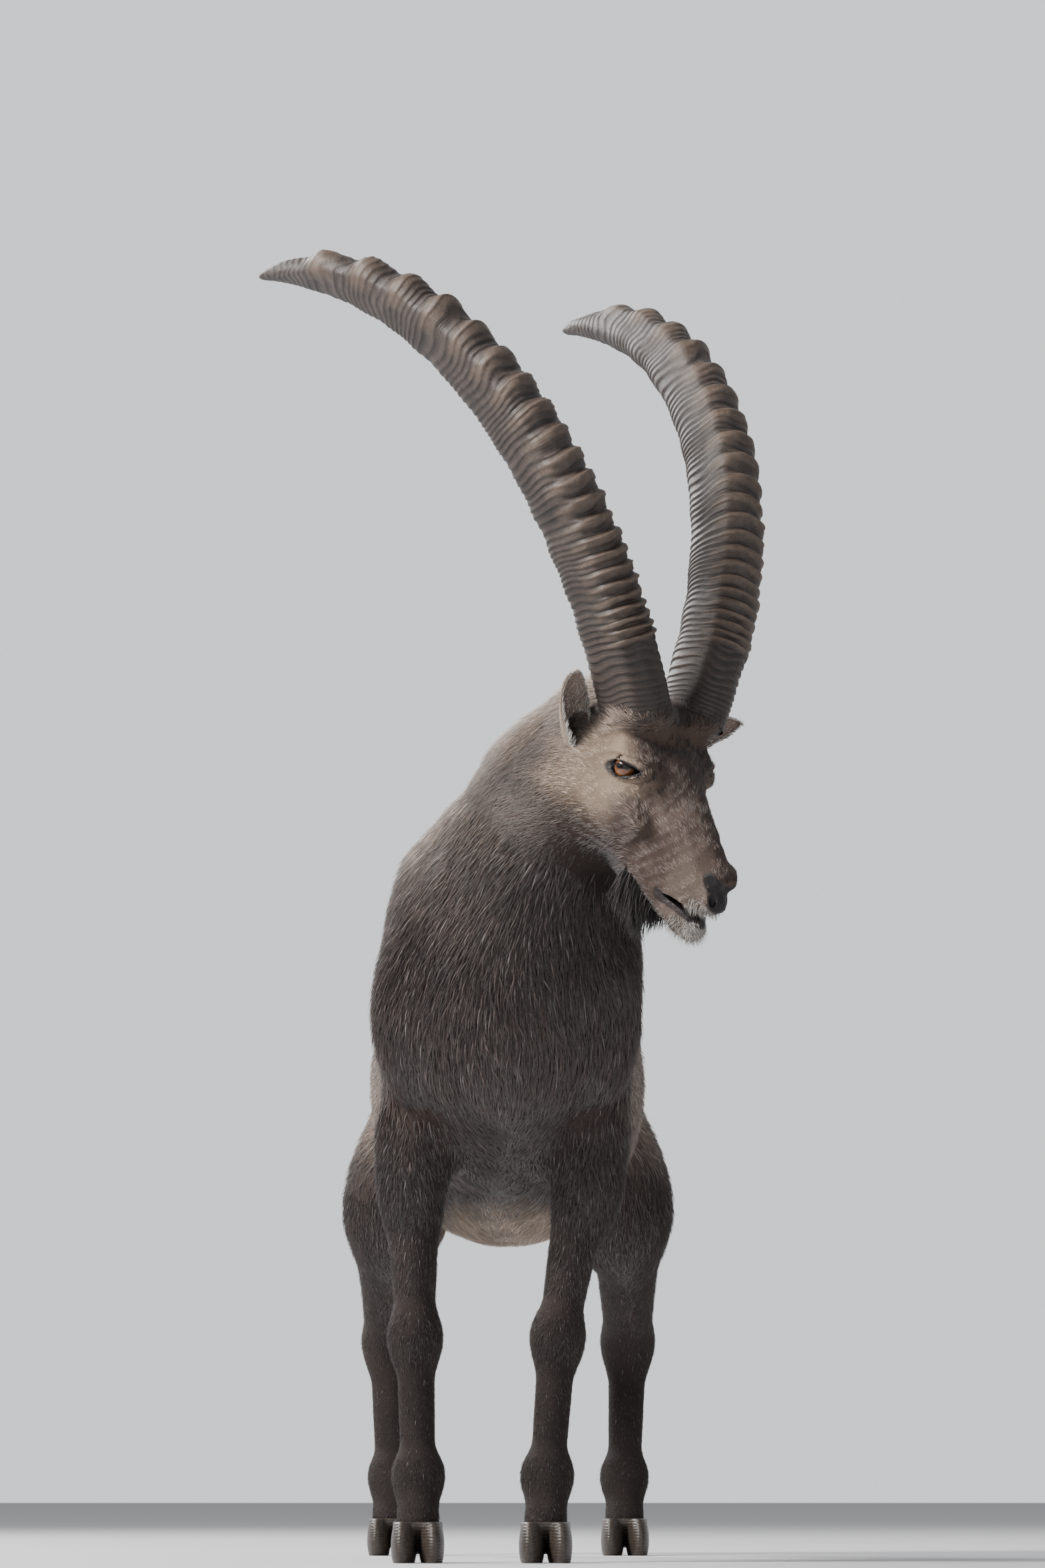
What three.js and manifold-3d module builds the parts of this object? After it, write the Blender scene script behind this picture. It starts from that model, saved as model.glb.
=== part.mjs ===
// A male alpine ibex, life size, standing on level ground with its head turned to its left.
// Millimetres, +Z up, the animal faces -Y and its left side is +X. Z = 0 is the ground under the hooves.
// Flesh is a field of limbs and lumps that melt into each other; tubes are wrapped onto that field,
// and each tube is parted from the one it grows from by a gap of GAP.
import * as THREE from "three";
import { mergeVertices } from "three/addons/utils/BufferGeometryUtils.js";
import Module from "manifold-3d";

const wasm = await Module();
wasm.setup();

// Driving dimensions of the body
const CHEST_FRONT = -505; // y of the breast
const BUTTOCK = 590; // y of the rump's rear
const ELBOW = 480; // heights of the leg joints
const KNEE = 255;
const STIFLE = 425;
const HOCK = 268;
const FETLOCK = 98;
const CORONET = 40; // top of the hooves
const GAP = 0.4; // between touching nodes
const INSET = 9; // how far a limb's surface lies under the trunk's where it enters it

// Pose of the head, from the ground frame: the midpoint between the horn bases, and its turns
const POLL = new THREE.Vector3(176, -520, 961);
const HEAD_YAW = THREE.MathUtils.degToRad(46.2); // towards the animal's left
const FACE_PITCH = THREE.MathUtils.degToRad(62.9); // line of the nose below the horizontal

// Head, in its own frame: x left, y back along the line of the nose, z out of the forehead
const EYE = new THREE.Vector3(49, -66, -44);
const EYE_RADIUS = 15.5;
const LID = 3; // thickness of the eyelids

// Horns
const HORN_LENGTH = 752; // along the middle line
const HORN_DEPTH = 41; // half the depth, front to back, at the base
const HORN_WIDTH = 32; // half the width at the base
const HORN_RIDGES = 22;

const v3 = (x, y, z) => new THREE.Vector3(x, y, z);
const sides = { left: 1, right: -1 };

// Fields: each returns the distance from a point to its surface, negative inside

// A tapered limb from a to b, its section `wide` times as wide in x as it is deep.
function limb(a, b, ra, rb, blend = 40, wide = 1) {
  const ab = b.clone().sub(a);
  const length2 = ab.lengthSq();
  const measure = (x, y, z) => {
    const px = x - a.x;
    const py = y - a.y;
    const pz = z - a.z;
    const along = (px * ab.x + py * ab.y + pz * ab.z) / length2;
    const t = Math.min(1, Math.max(0, along));
    const dx = (px - t * ab.x) / wide;
    const dy = py - t * ab.y;
    const dz = pz - t * ab.z;
    return (Math.sqrt(dx * dx + dy * dy + dz * dz) - ra - t * (rb - ra)) * Math.min(1, wide);
  };
  return { measure, blend };
}

// An ellipsoid with its three half sizes, tipped about x by `tilt` degrees and then turned about z by `turn`.
function lump(c, half, blend = 40, tilt = 0, turn = 0) {
  const m = new THREE.Matrix4().makeRotationX(THREE.MathUtils.degToRad(-tilt));
  m.multiply(new THREE.Matrix4().makeRotationZ(THREE.MathUtils.degToRad(-turn)));
  const e = m.elements;
  const measure = (x, y, z) => {
    const px = x - c.x;
    const py = y - c.y;
    const pz = z - c.z;
    const qx = (e[0] * px + e[4] * py + e[8] * pz) / half.x;
    const qy = (e[1] * px + e[5] * py + e[9] * pz) / half.y;
    const qz = (e[2] * px + e[6] * py + e[10] * pz) / half.z;
    const k0 = Math.sqrt(qx * qx + qy * qy + qz * qz);
    const k1 = Math.hypot(qx / half.x, qy / half.y, qz / half.z);
    return k1 < 1e-9 ? -Math.min(half.x, half.y, half.z) : (k0 * (k0 - 1)) / k1;
  };
  return { measure, blend };
}

function melt(a, b, k) {
  const h = Math.max(k - Math.abs(a - b), 0);
  return Math.min(a, b) - (h * h) / (4 * k);
}

// The forms melted together in their order, each by its own blend.
const melted = (forms) => (x, y, z) =>
  forms.reduce((d, f) => (d === null ? f.measure(x, y, z) : melt(d, f.measure(x, y, z), f.blend)), null);

// Trunk, with the muscles of the shoulders and thighs
const trunkForms = [
  lump(v3(0, -165, 645), v3(140, 335, 215)), // rib cage
  lump(v3(0, 120, 566), v3(172, 320, 196), 60), // belly
  lump(v3(0, -235, 775), v3(58, 190, 100), 70), // withers
  limb(v3(0, -120, 775), v3(0, 330, 760), 74, 80, 60, 1.2), // back and loin
  lump(v3(0, 410, 690), v3(128, 165, 146), 60), // croup
  limb(v3(0, -425, 565), v3(0, -230, 505), 84, 84, 50, 0.95), // brisket
  lump(v3(0, -395, 645), v3(120, 108, 130), 60), // breast
];
for (const s of Object.values(sides)) {
  trunkForms.push(lump(v3(s * 82, -275, 680), v3(52, 105, 134), 50, 24)); // shoulder blade
  trunkForms.push(lump(v3(s * 103, -370, 615), v3(54, 76, 98), 45)); // point of the shoulder
  trunkForms.push(lump(v3(s * 98, -268, 545), v3(48, 84, 92), 45)); // upper arm
  trunkForms.push(lump(v3(s * 90, 420, 610), v3(74, 150, 185), 55, -8)); // thigh
  trunkForms.push(lump(v3(s * 88, 520, 565), v3(56, 66, 140), 45, 10)); // ham
  trunkForms.push(lump(v3(s * 132, 350, 468), v3(62, 80, 104), 45)); // stifle
}
const trunk = melted(trunkForms);

// Legs, each a chain of joints; the left forefoot stands further in than the right
const foreJoints = {
  left: {
    elbow: v3(96, -305, ELBOW), knee: v3(58, -335, KNEE),
    fetlock: v3(46, -342, FETLOCK), foot: v3(44, -368, CORONET),
  },
  right: {
    elbow: v3(-108, -305, ELBOW), knee: v3(-104, -335, KNEE),
    fetlock: v3(-100, -342, FETLOCK), foot: v3(-100, -368, CORONET),
  },
};
const hindJoints = (s) => ({
  stifle: v3(s * 148, 335, STIFLE), hock: v3(s * 151, 528, HOCK),
  fetlock: v3(s * 146, 500, FETLOCK), foot: v3(s * 146, 472, CORONET),
});

const foreForms = (s, j) => [
  limb(j.elbow, j.knee, 48, 29, 40, 0.85), // forearm
  lump(j.elbow.clone().add(v3(s * 2, -10, -36)), v3(39, 50, 74), 35), // forearm muscle
  lump(j.knee, v3(31, 34, 38), 20), // knee
  limb(j.knee, j.fetlock, 25, 22, 20, 1), // cannon
  lump(j.fetlock, v3(28, 30, 29), 20), // fetlock
  limb(j.fetlock, j.foot, 24, 26, 20, 1.05), // pastern
];
const hindForms = (s, j) => {
  const heel = j.hock.clone().add(v3(0, 34, 40)); // point of the hock
  return [
    lump(j.stifle.clone().add(v3(-s * 8, 20, 10)), v3(54, 76, 84), 40), // knee cap and calf
    limb(j.stifle.clone().add(v3(0, 20, -10)), j.hock, 60, 34, 45, 0.85), // gaskin
    limb(v3(s * 116, 500, 470), heel, 40, 16, 30, 0.85), // tendon
    lump(j.hock, v3(29, 36, 40), 25), // hock
    limb(j.hock, heel, 24, 17, 18), // heel
    limb(j.hock, j.fetlock, 27, 23, 22), // cannon
    lump(j.fetlock, v3(28, 30, 29), 20), // fetlock
    limb(j.fetlock, j.foot, 24, 26, 20, 1.05), // pastern
  ];
};

// Neck, from inside the trunk to inside the head
const neckJoints = [
  { at: v3(0, -270, 690), r: 130 },
  { at: v3(10, -335, 745), r: 120 },
  { at: v3(34, -388, 805), r: 101 },
  { at: v3(66, -424, 872), r: 86 },
  { at: v3(108, -458, 925), r: 76 },
];
const neckForms = neckJoints
  .slice(1)
  .map((joint, i) => limb(neckJoints[i].at, joint.at, neckJoints[i].r, joint.r, 50, 0.95));

// Head, in its own frame
const headForms = [
  lump(v3(0, -26, -50), v3(57, 60, 52), 20), // brain case
  lump(v3(0, -58, -34), v3(52, 60, 33), 20), // forehead
  limb(v3(0, -80, -32), v3(0, -206, -21), 31, 17, 20, 1.05), // bridge of the nose
  limb(v3(0, -95, -66), v3(0, -206, -45), 45, 23, 24, 0.98), // cheeks to muzzle
  limb(v3(0, -60, -96), v3(0, -120, -92), 46, 36, 30), // back of the jaws
  limb(v3(0, -125, -84), v3(0, -222, -62), 36, 21, 18), // corners of the mouth
  lump(v3(0, -222, -18), v3(18, 14, 15), 10), // nose
  lump(v3(0, -236, -38), v3(20, 19, 16), 12), // upper lip
];
for (const s of Object.values(sides)) {
  headForms.push(lump(v3(s * 46, -66, -29), v3(22, 30, 20), 16, 0, s * 10)); // brow
  headForms.push(lump(v3(s * 34, -74, -104), v3(25, 56, 50), 28)); // jaw muscle
  headForms.push(lump(v3(s * 11, -221, -18), v3(10, 15, 12), 8)); // wing of the nostril
  headForms.push(lump(v3(s * 45, -100, -62), v3(14, 38, 13), 18)); // cheek bone
}
headForms.push(
  limb(v3(0, -80, -116), v3(0, -150, -108), 36, 26, 24, 1), // lower jaw
  limb(v3(0, -150, -108), v3(0, -232, -89), 27, 16, 16, 1.15),
  lump(v3(0, -242, -81), v3(19, 23, 18), 10), // chin
);

// Transforms between the head's frame and the ground frame
const headTurn = new THREE.Matrix4()
  .makeRotationZ(HEAD_YAW)
  .multiply(new THREE.Matrix4().makeRotationX(FACE_PITCH));
const headToGround = headTurn.clone().setPosition(POLL);
const levelToGround = new THREE.Matrix4().makeRotationZ(HEAD_YAW).setPosition(POLL);

function inFrame(measure, frame) {
  const e = frame.clone().invert().elements;
  return (x, y, z) =>
    measure(
      e[0] * x + e[4] * y + e[8] * z + e[12],
      e[1] * x + e[5] * y + e[9] * z + e[13],
      e[2] * x + e[6] * y + e[10] * z + e[14],
    );
}

// Solids

function solid(geometry) {
  const bare = geometry.index ? geometry.toNonIndexed() : geometry.clone();
  bare.deleteAttribute("normal");
  bare.deleteAttribute("uv");
  const merged = mergeVertices(bare, 1e-4);
  return new wasm.Manifold(
    new wasm.Mesh({
      numProp: 3,
      vertProperties: merged.getAttribute("position").array,
      triVerts: new Uint32Array(merged.index.array),
    }),
  );
}

// The largest of the bodies that a cut leaves.
const largest = (made) => made.decompose().sort((a, b) => b.volume() - a.volume())[0];

// A closed tube: a cylinder whose rows and ends are moved to place(row, angle), with place(row, null) for the ends' middles.
function tube(rows, around, place) {
  const g = new THREE.CylinderGeometry(1, 1, 1, around, rows, false);
  const p = g.getAttribute("position");
  for (let i = 0; i < p.count; i++) {
    const row = Math.round((0.5 - p.getY(i)) * rows);
    const centre = Math.hypot(p.getX(i), p.getZ(i)) < 1e-6;
    const step = Math.round((Math.atan2(p.getX(i), p.getZ(i)) / (2 * Math.PI)) * around);
    const at = place(row, centre ? null : ((step + around) % around) * ((2 * Math.PI) / around));
    p.setXYZ(i, at.x, at.y, at.z);
  }
  return g;
}

// Stations along a path: a centre and two directions across it, the first as near to x as may be.
function stationsAlong(points, count, across = v3(1, 0, 0)) {
  const curve = new THREE.CatmullRomCurve3(points, false, "centripetal");
  return Array.from({ length: count + 1 }, (_, i) => {
    const t = i / count;
    const along = curve.getTangentAt(t);
    const u = across.clone().addScaledVector(along, -across.dot(along)).normalize();
    return { centre: curve.getPointAt(t), along, u, v: along.clone().cross(u) };
  });
}

// How far from a centre inside it the field's surface lies in one direction.
function reach(field, c, d, level, limit) {
  const at = (r) => field(c.x + d.x * r, c.y + d.y * r, c.z + d.z * r) - level;
  let low = 0;
  let high = 0;
  while (high < limit && at(high) < 0) {
    low = high;
    high = Math.min(limit, high + Math.max(1.5, -0.8 * at(high)));
  }
  if (high >= limit && at(limit) < 0) return limit;
  for (let i = 0; i < 14; i++) {
    const middle = (low + high) / 2;
    if (at(middle) < 0) low = middle;
    else high = middle;
  }
  return Math.max(high, 1);
}

// A tube wrapped onto a field, `level` outside its surface.
function wrap(field, stations, around, level = 0, limit = 400) {
  const rows = stations.length - 1;
  return tube(rows, around, (row, angle) => {
    const s = stations[row];
    let way = row ? s.along : s.along.clone().negate();
    if (angle !== null)
      way = s.u.clone().multiplyScalar(Math.sin(angle)).addScaledVector(s.v, Math.cos(angle));
    return s.centre.clone().addScaledVector(way, reach(field, s.centre, way, level, limit));
  });
}

// The part of a solid below or above a plane through a point.
function trimmed(made, point, normal) {
  const n = normal.clone().normalize();
  return made.trimByPlane([n.x, n.y, n.z], point.dot(n) + GAP / 2);
}

const nodes = new Map();

function keep(name, made, colour, roughness = 0.8) {
  nodes.set(name, { made: largest(made), colour, roughness });
}

// Trunk: rows from the breast to the rump, closer together at both ends
const TRUNK_SIDES = 26;
const trunkRows = 26;
const trunkStations = Array.from({ length: trunkRows + 1 }, (_, i) => {
  const t = (1 - Math.cos((Math.PI * i) / trunkRows)) / 2;
  const y = THREE.MathUtils.lerp(CHEST_FRONT + 4, BUTTOCK - 24, 0.8 * t + (0.2 * i) / trunkRows);
  const z = y < -300 ? THREE.MathUtils.lerp(600, 640, (y + 505) / 205) : y > 300 ? 640 + (y - 300) * 0.2 : 640;
  return { centre: v3(0, y, z), along: v3(0, 1, 0), u: v3(1, 0, 0), v: v3(0, 0, -1) };
});
const torsoSolid = solid(wrap(trunk, trunkStations, TRUNK_SIDES));
const torsoRoom = solid(wrap(trunk, trunkStations, TRUNK_SIDES, GAP + 0.2));

const COAT_BACK = 0x74655c;
const COAT_DARK = 0x4a3f3a;

// A limb's field: its own forms, entering the trunk INSET under its surface
function rooted(forms, root, blend) {
  const own = melted(forms);
  return (x, y, z) => melt(own(x, y, z), root(x, y, z) + INSET, blend);
}

// A closed form wrapped round its own middle, for small parts
function blob(field, centre, half, rows, around, along = v3(0, 0, 1)) {
  const ends = [-0.9, 0.9].map((k) => centre.clone().addScaledVector(along, k * half));
  return solid(wrap(field, stationsAlong(ends, rows, Math.abs(along.x) > 0.7 ? v3(0, 1, 0) : v3(1, 0, 0)), around, 0, 90));
}

// A cloven hoof: two claws and the bulb that joins them behind, cut off level at the ground
function hoof(foot) {
  const claws = [-1, 1].map((s) => {
    const centre = foot.clone().add(v3(s * 15.5, -12, -20));
    return blob(melted([lump(centre, v3(15, 41, 36), 1, 12, s * 5)]), centre, 26, 6, 10);
  });
  const bulb = foot.clone().add(v3(0, 10, -8));
  const whole = claws[0].add(claws[1]).add(blob(melted([lump(bulb, v3(27, 24, 22), 1)]), bulb, 16, 5, 10));
  return whole.trimByPlane([0, 0, 1], 0);
}

const LEG_SIDES = 10;
function leg(name, forms, line, cut, foot, lift) {
  const tubed = solid(wrap(rooted(forms, trunk, 40), stationsAlong(line, 24), LEG_SIDES, 0, 110));
  const whole = tubed.subtract(torsoRoom);
  const at = foot.clone().setZ(cut);
  keep(`${name}_upper`, trimmed(whole, at, v3(0, 0, 1)), COAT_DARK);
  const shank = trimmed(trimmed(whole, at, v3(0, 0, -1)), foot, v3(0, 0, 1));
  const spurs = [-1, 1].map((s) => {
    const spur = lump(foot.clone().add(v3(s * 15, lift, 34)), v3(9, 11, 14), 1, 30);
    return blob(spur.measure, foot.clone().add(v3(s * 15, lift, 34)), 10, 4, 6);
  });
  keep(`${name}_lower`, shank.add(spurs[0]).add(spurs[1]), COAT_DARK);
  keep(`${name}_hoof`, hoof(foot).trimByPlane([0, 0, -1], -foot.z), 0x2b2522, 0.5);
}
for (const [name, s] of Object.entries(sides)) {
  const f = foreJoints[name];
  const foreLine = [f.elbow.clone().add(v3(0, 20, 60)), f.elbow, f.knee, f.fetlock, f.foot];
  leg(`foreleg_${name}`, foreForms(s, f), foreLine, KNEE + 32, f.foot, 48);
  const h = hindJoints(s);
  const hindLine = [v3(s * 100, 380, 560), v3(s * 112, 380, 470), h.hock, h.fetlock, h.foot];
  leg(`hindleg_${name}`, hindForms(s, h), hindLine, HOCK + 66, h.foot, 50);
}
keep("torso", torsoSolid, COAT_BACK);

// Tail
const tailForms = [limb(v3(0, 520, 770), v3(0, 590, 740), 28, 22, 20, 1.2), limb(v3(0, 590, 740), v3(0, 608, 665), 22, 12, 20, 1.2)];
const tailLine = [v3(0, 530, 766), v3(0, 585, 742), v3(0, 606, 680), v3(0, 609, 664)];
const tail = solid(wrap(melted(tailForms), stationsAlong(tailLine, 10), 8));
keep("tail", tail.subtract(torsoRoom), COAT_DARK);

// Neck and head meet at a plane behind the jaws
const neckField = rooted(neckForms, trunk, 60);
const neckCut = neckJoints[3].at.clone().lerp(neckJoints[4].at, 0.25);
const neckWay = neckJoints[4].at.clone().sub(neckJoints[3].at).normalize();
const neckStations = stationsAlong(neckJoints.map((j) => j.at), 14);
const neckTube = (level) =>
  trimmed(solid(wrap(neckField, neckStations, 20, level, 150)), neckCut, neckWay.clone().negate());
keep("neck", neckTube(0).subtract(torsoRoom), COAT_BACK);

const headLine = [v3(0, 34, -76), v3(0, -90, -62), v3(0, -200, -44), v3(0, -246, -33)];
const jawLine = [v3(0, -130, -100), v3(0, -190, -92), v3(0, -255, -79)];
const groundToHead = headToGround.clone().invert();
const nape = neckJoints.slice(3).map((j) => j.at.clone().applyMatrix4(groundToHead));
headForms.push(limb(nape[0], nape[1], neckJoints[3].r, neckJoints[4].r, 30, 0.95)); // the neck's end
const headLocal = melted(headForms);
const ROOT_TILT = -54; // of the ring of skin round a horn's foot, in degrees
const hornRoots = Object.values(sides).map((s) => {
  const centre = v3(s * 43, -13, -17);
  const out = v3(0, 0, 1).applyAxisAngle(v3(1, 0, 0), THREE.MathUtils.degToRad(ROOT_TILT));
  return blob(lump(centre, v3(41, 49, 18), 1, ROOT_TILT).measure, centre, 15, 4, 14, out);
});
const skull = solid(wrap(headLocal, stationsAlong(headLine, 26), 24, 0, 130));
const jaw = solid(wrap(headLocal, stationsAlong(jawLine, 10), 14, 0, 60));
const neckEnd = solid(wrap(headLocal, stationsAlong([nape[0], nape[1]], 5), 20, 0, 110));

// A wedge from the corners of the mouth to the front of the lips
function mouth() {
  const wedge = new THREE.Shape();
  wedge.moveTo(-206, -83);
  wedge.quadraticCurveTo(-235, -64, -290, -38);
  wedge.lineTo(-290, -52);
  wedge.quadraticCurveTo(-235, -72, -206, -83);
  const g = new THREE.ExtrudeGeometry(wedge, { depth: 120, bevelEnabled: false, curveSegments: 5 });
  return solid(g.translate(0, 0, -60).applyMatrix4(sideways));
}

// Takes a drawing in (y, z) to the plane across x
const sideways = new THREE.Matrix4().makeBasis(v3(0, 1, 0), v3(0, 0, 1), v3(1, 0, 0));

// A nostril: a bent cut, narrow and running down and back
function nostril(s) {
  const path = [v3(s * 26, -222, -14), v3(s * 20, -236, -19), v3(s * 12, -246, -30)];
  const stations = stationsAlong(path, 5);
  return solid(
    tube(5, 8, (row, angle) => {
      const st = stations[row];
      const at = st.centre.clone();
      const r = 4.5 - 0.5 * row;
      return angle === null ? at : at.addScaledVector(st.u, 1.5 * r * Math.sin(angle)).addScaledVector(st.v, r * Math.cos(angle));
    }),
  );
}

// Eyelids: a ball a little larger than the eye, open in an almond towards the side
function lids(s) {
  const eye = v3(s * EYE.x, EYE.y, EYE.z);
  const ball = solid(new THREE.SphereGeometry(EYE_RADIUS + LID, 20, 12).translate(eye.x, eye.y, eye.z));
  const almond = new THREE.Shape();
  almond.moveTo(-21, 2);
  almond.quadraticCurveTo(0, 17, 24, 0);
  almond.quadraticCurveTo(4, -13, -21, 2);
  const slit = new THREE.ExtrudeGeometry(almond, { depth: 60, bevelEnabled: false, curveSegments: 6 });
  const way = v3(s * 0.935, -0.269, 0.233);
  const back = v3(s * 0.354, 0.731, -0.58);
  const across = back.addScaledVector(way, -back.dot(way)).normalize();
  const frame = new THREE.Matrix4().makeBasis(across, way.clone().cross(across), way).setPosition(eye);
  return { ball, slit: solid(slit.applyMatrix4(frame)), eye };
}
// The beard: flat tapered locks in a row under the chin, hanging back
function beard() {
  const lock = (x, y, long) => {
    const root = v3(x, y, THREE.MathUtils.mapLinear(y, -240, -185, -92, -118));
    const down = v3(0.25 * x, -0.6 * long, -0.75 * long);
    const path = [0, 0.5, 1].map((t) => root.clone().addScaledVector(down, t).add(v3(0, 0.35 * long * t * t, 0)));
    const stations = stationsAlong(path, 3);
    return solid(
      tube(3, 6, (row, angle) => {
        const st = stations[row];
        const at = st.centre.clone();
        const r = 11 * (1 - (row / 3) ** 1.5) + 0.5;
        return angle === null ? at : at.addScaledVector(st.u, 0.7 * r * Math.sin(angle)).addScaledVector(st.v, r * Math.cos(angle));
      }),
    );
  };
  const rows = [-222, -211, -200, -189, -178];
  return rows.flatMap((y, i) => [-1, 1].map((s) => lock(s * (5 + 2 * (i % 2)), y, 28 + 7 * i)))
    .reduce((whole, one) => whole.add(one));
}

const cutHere = neckCut.clone().applyMatrix4(groundToHead);
const wayHere = neckWay.clone().transformDirection(groundToHead);
const neckRoom = neckTube(GAP + 0.2).transform(groundToHead.elements);
const chin = jaw.add(beard()).subtract(neckRoom);
const rear = hornRoots.reduce((whole, root) => whole.add(root), skull.add(neckEnd));
let head = trimmed(rear, cutHere, wayHere).add(largest(chin)).subtract(mouth());
for (const s of Object.values(sides)) head = head.subtract(nostril(s));
const eyeSockets = Object.entries(sides).map(([name, s]) => ({ name, ...lids(s) }));
for (const { ball } of eyeSockets) head = head.add(ball);
for (const { slit } of eyeSockets) head = head.subtract(slit);
for (const { eye } of eyeSockets) {
  const room = new THREE.SphereGeometry(EYE_RADIUS + GAP, 20, 12).translate(eye.x, eye.y, eye.z);
  head = head.subtract(solid(room));
}
const headSolid = largest(head.transform(headToGround.elements));
keep("head", headSolid, COAT_BACK);
for (const { name, eye } of eyeSockets) {
  const ball = new THREE.SphereGeometry(EYE_RADIUS, 16, 9).translate(eye.x, eye.y, eye.z);
  keep(`eye_${name}`, solid(ball.applyMatrix4(headToGround)), 0x5a3315, 0.15);
}

// Ears: a leaf with its hollow scooped out, in the frame of the level head
const earPose = {
  left: { tip: v3(97, -38, 40), open: v3(0.3, -0.9, -0.35) },
  right: { tip: v3(-43, -38, 73), open: v3(-0.35, -0.9, -0.1) },
};
for (const [name, s] of Object.entries(sides)) {
  const root = v3(s * 60, -12, -92).applyMatrix4(headToGround).applyMatrix4(levelToGround.clone().invert());
  const { tip, open } = earPose[name];
  const along = tip.clone().normalize();
  const front = open.clone().addScaledVector(along, -open.dot(along)).normalize();
  const across = front.clone().cross(along);
  const rows = 8;
  const leaf = (width, depth, offset, from, to) =>
    tube(rows, 10, (row, angle) => {
      const t = THREE.MathUtils.lerp(from, to, row / rows);
      const w = Math.max(0.4, width * Math.sin(Math.PI * Math.min(1, 0.2 + 0.8 * Math.max(0, t) ** 1.3)) ** 0.6);
      const at = root.clone().addScaledVector(along, t * tip.length() * 1.1).addScaledVector(front, offset - 14 * t * (1 - t));
      if (angle === null) return at;
      return at.addScaledVector(across, w * Math.sin(angle)).addScaledVector(front, depth * (w / width) * Math.cos(angle));
    });
  const flap = solid(leaf(21, 12, 0, -0.15, 1));
  const scoop = solid(leaf(17, 15, 8, 0.1, 0.93));
  const ear = flap.subtract(scoop).transform(levelToGround.elements);
  keep(`ear_${name}`, ear.subtract(headSolid), COAT_BACK);
}

// Horns: the middle line bends back and a little in, in the frame of the level head
const HORN_ROOT = v3(48.9, 0, -6);
const hornWay = (t) => {
  const back = THREE.MathUtils.degToRad(-5.3) + 1.34 * t - 0.255 * t * t + 0.667 * t * t * t;
  const out = THREE.MathUtils.degToRad(22.9) - 0.25 * t;
  return v3(Math.sin(out), Math.cos(out) * Math.sin(back), Math.cos(out) * Math.cos(back));
};
const hornSize = (t) => Math.sqrt(Math.max(0, 1 - t ** 2.4));
const ridgePlaces = Array.from({ length: HORN_RIDGES }, (_, k) => 0.875 - (0.078 * (1 - 0.915 ** k)) / 0.085);
function ridge(t, angle) {
  const front = Math.max(0, Math.cos(angle)) ** 0.8;
  return ridgePlaces.reduce((sum, place, k) => {
    const size = THREE.MathUtils.lerp(10, 4.5, k / HORN_RIDGES);
    const half = THREE.MathUtils.lerp(0.02, 0.007, k / HORN_RIDGES);
    return sum + size * Math.exp(-(((t - place) / half) ** 2)) * front;
  }, 0);
}
const hornTimes = [-0.025, 0.01, 0.022];
for (let k = ridgePlaces.length - 1; k >= 0; k--) {
  const before = k + 1 < ridgePlaces.length ? ridgePlaces[k + 1] : 0.03;
  hornTimes.push((before + ridgePlaces[k]) / 2, ridgePlaces[k]);
}
hornTimes.push(0.91, 0.94, 0.965, 0.985, 0.995);
hornTimes.sort((a, b) => a - b);
for (const [name, s] of Object.entries(sides)) {
  const path = [HORN_ROOT.clone().addScaledVector(hornWay(0), hornTimes[0] * HORN_LENGTH)];
  for (let i = 1; i < hornTimes.length; i++) {
    const step = (hornTimes[i] - hornTimes[i - 1]) * HORN_LENGTH;
    path.push(path[i - 1].clone().addScaledVector(hornWay((hornTimes[i] + hornTimes[i - 1]) / 2), step));
  }
  const shape = tube(hornTimes.length - 1, 11, (row, angle) => {
    const t = hornTimes[row];
    const way = hornWay(Math.max(t, 0));
    const front = v3(0, -1, 0).addScaledVector(way, way.y).normalize();
    const across = front.clone().cross(way);
    const at = path[row].clone();
    if (angle !== null) {
      const square = (Math.abs(Math.cos(angle)) ** 2.5 + Math.abs(Math.sin(angle)) ** 2.5) ** (-1 / 2.5);
      const size = hornSize(Math.max(t, 0)) * square;
      at.addScaledVector(front, Math.cos(angle) * (HORN_DEPTH * size + ridge(t, angle)));
      at.addScaledVector(across, Math.sin(angle) * (HORN_WIDTH * size + 0.3 * ridge(t, angle)));
    }
    return v3(s * at.x, at.y, at.z);
  });
  if (s < 0) {
    const index = shape.index.array;
    for (let i = 0; i < index.length; i += 3) [index[i + 1], index[i + 2]] = [index[i + 2], index[i + 1]];
  }
  const horn = solid(shape.applyMatrix4(levelToGround));
  keep(`horn_${name}`, horn.subtract(headSolid), 0x4b443f, 0.6);
}

const ibex = new THREE.Group();
for (const [name, { made, colour, roughness }] of nodes) {
  const m = made.getMesh();
  const g = new THREE.BufferGeometry();
  g.setAttribute("position", new THREE.BufferAttribute(m.vertProperties, 3));
  g.setIndex(new THREE.BufferAttribute(m.triVerts, 1));
  const mesh = new THREE.Mesh(g, new THREE.MeshStandardMaterial({ color: colour, roughness, metalness: 0 }));
  mesh.name = name;
  ibex.add(mesh);
}

// The origin is the middle of the bounding box's bottom
const box = new THREE.Box3().setFromObject(ibex);
const origin = box.getCenter(v3(0, 0, 0)).setZ(box.min.z);
for (const mesh of ibex.children) mesh.position.sub(origin);

export default ibex;
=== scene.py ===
# A male alpine ibex in a plain studio: skin, coat of mesh tufts, ridged horns, eyes, ears and hooves
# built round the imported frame. Forms are in millimetres, and turned to metres when a mesh is made.
import math

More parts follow.
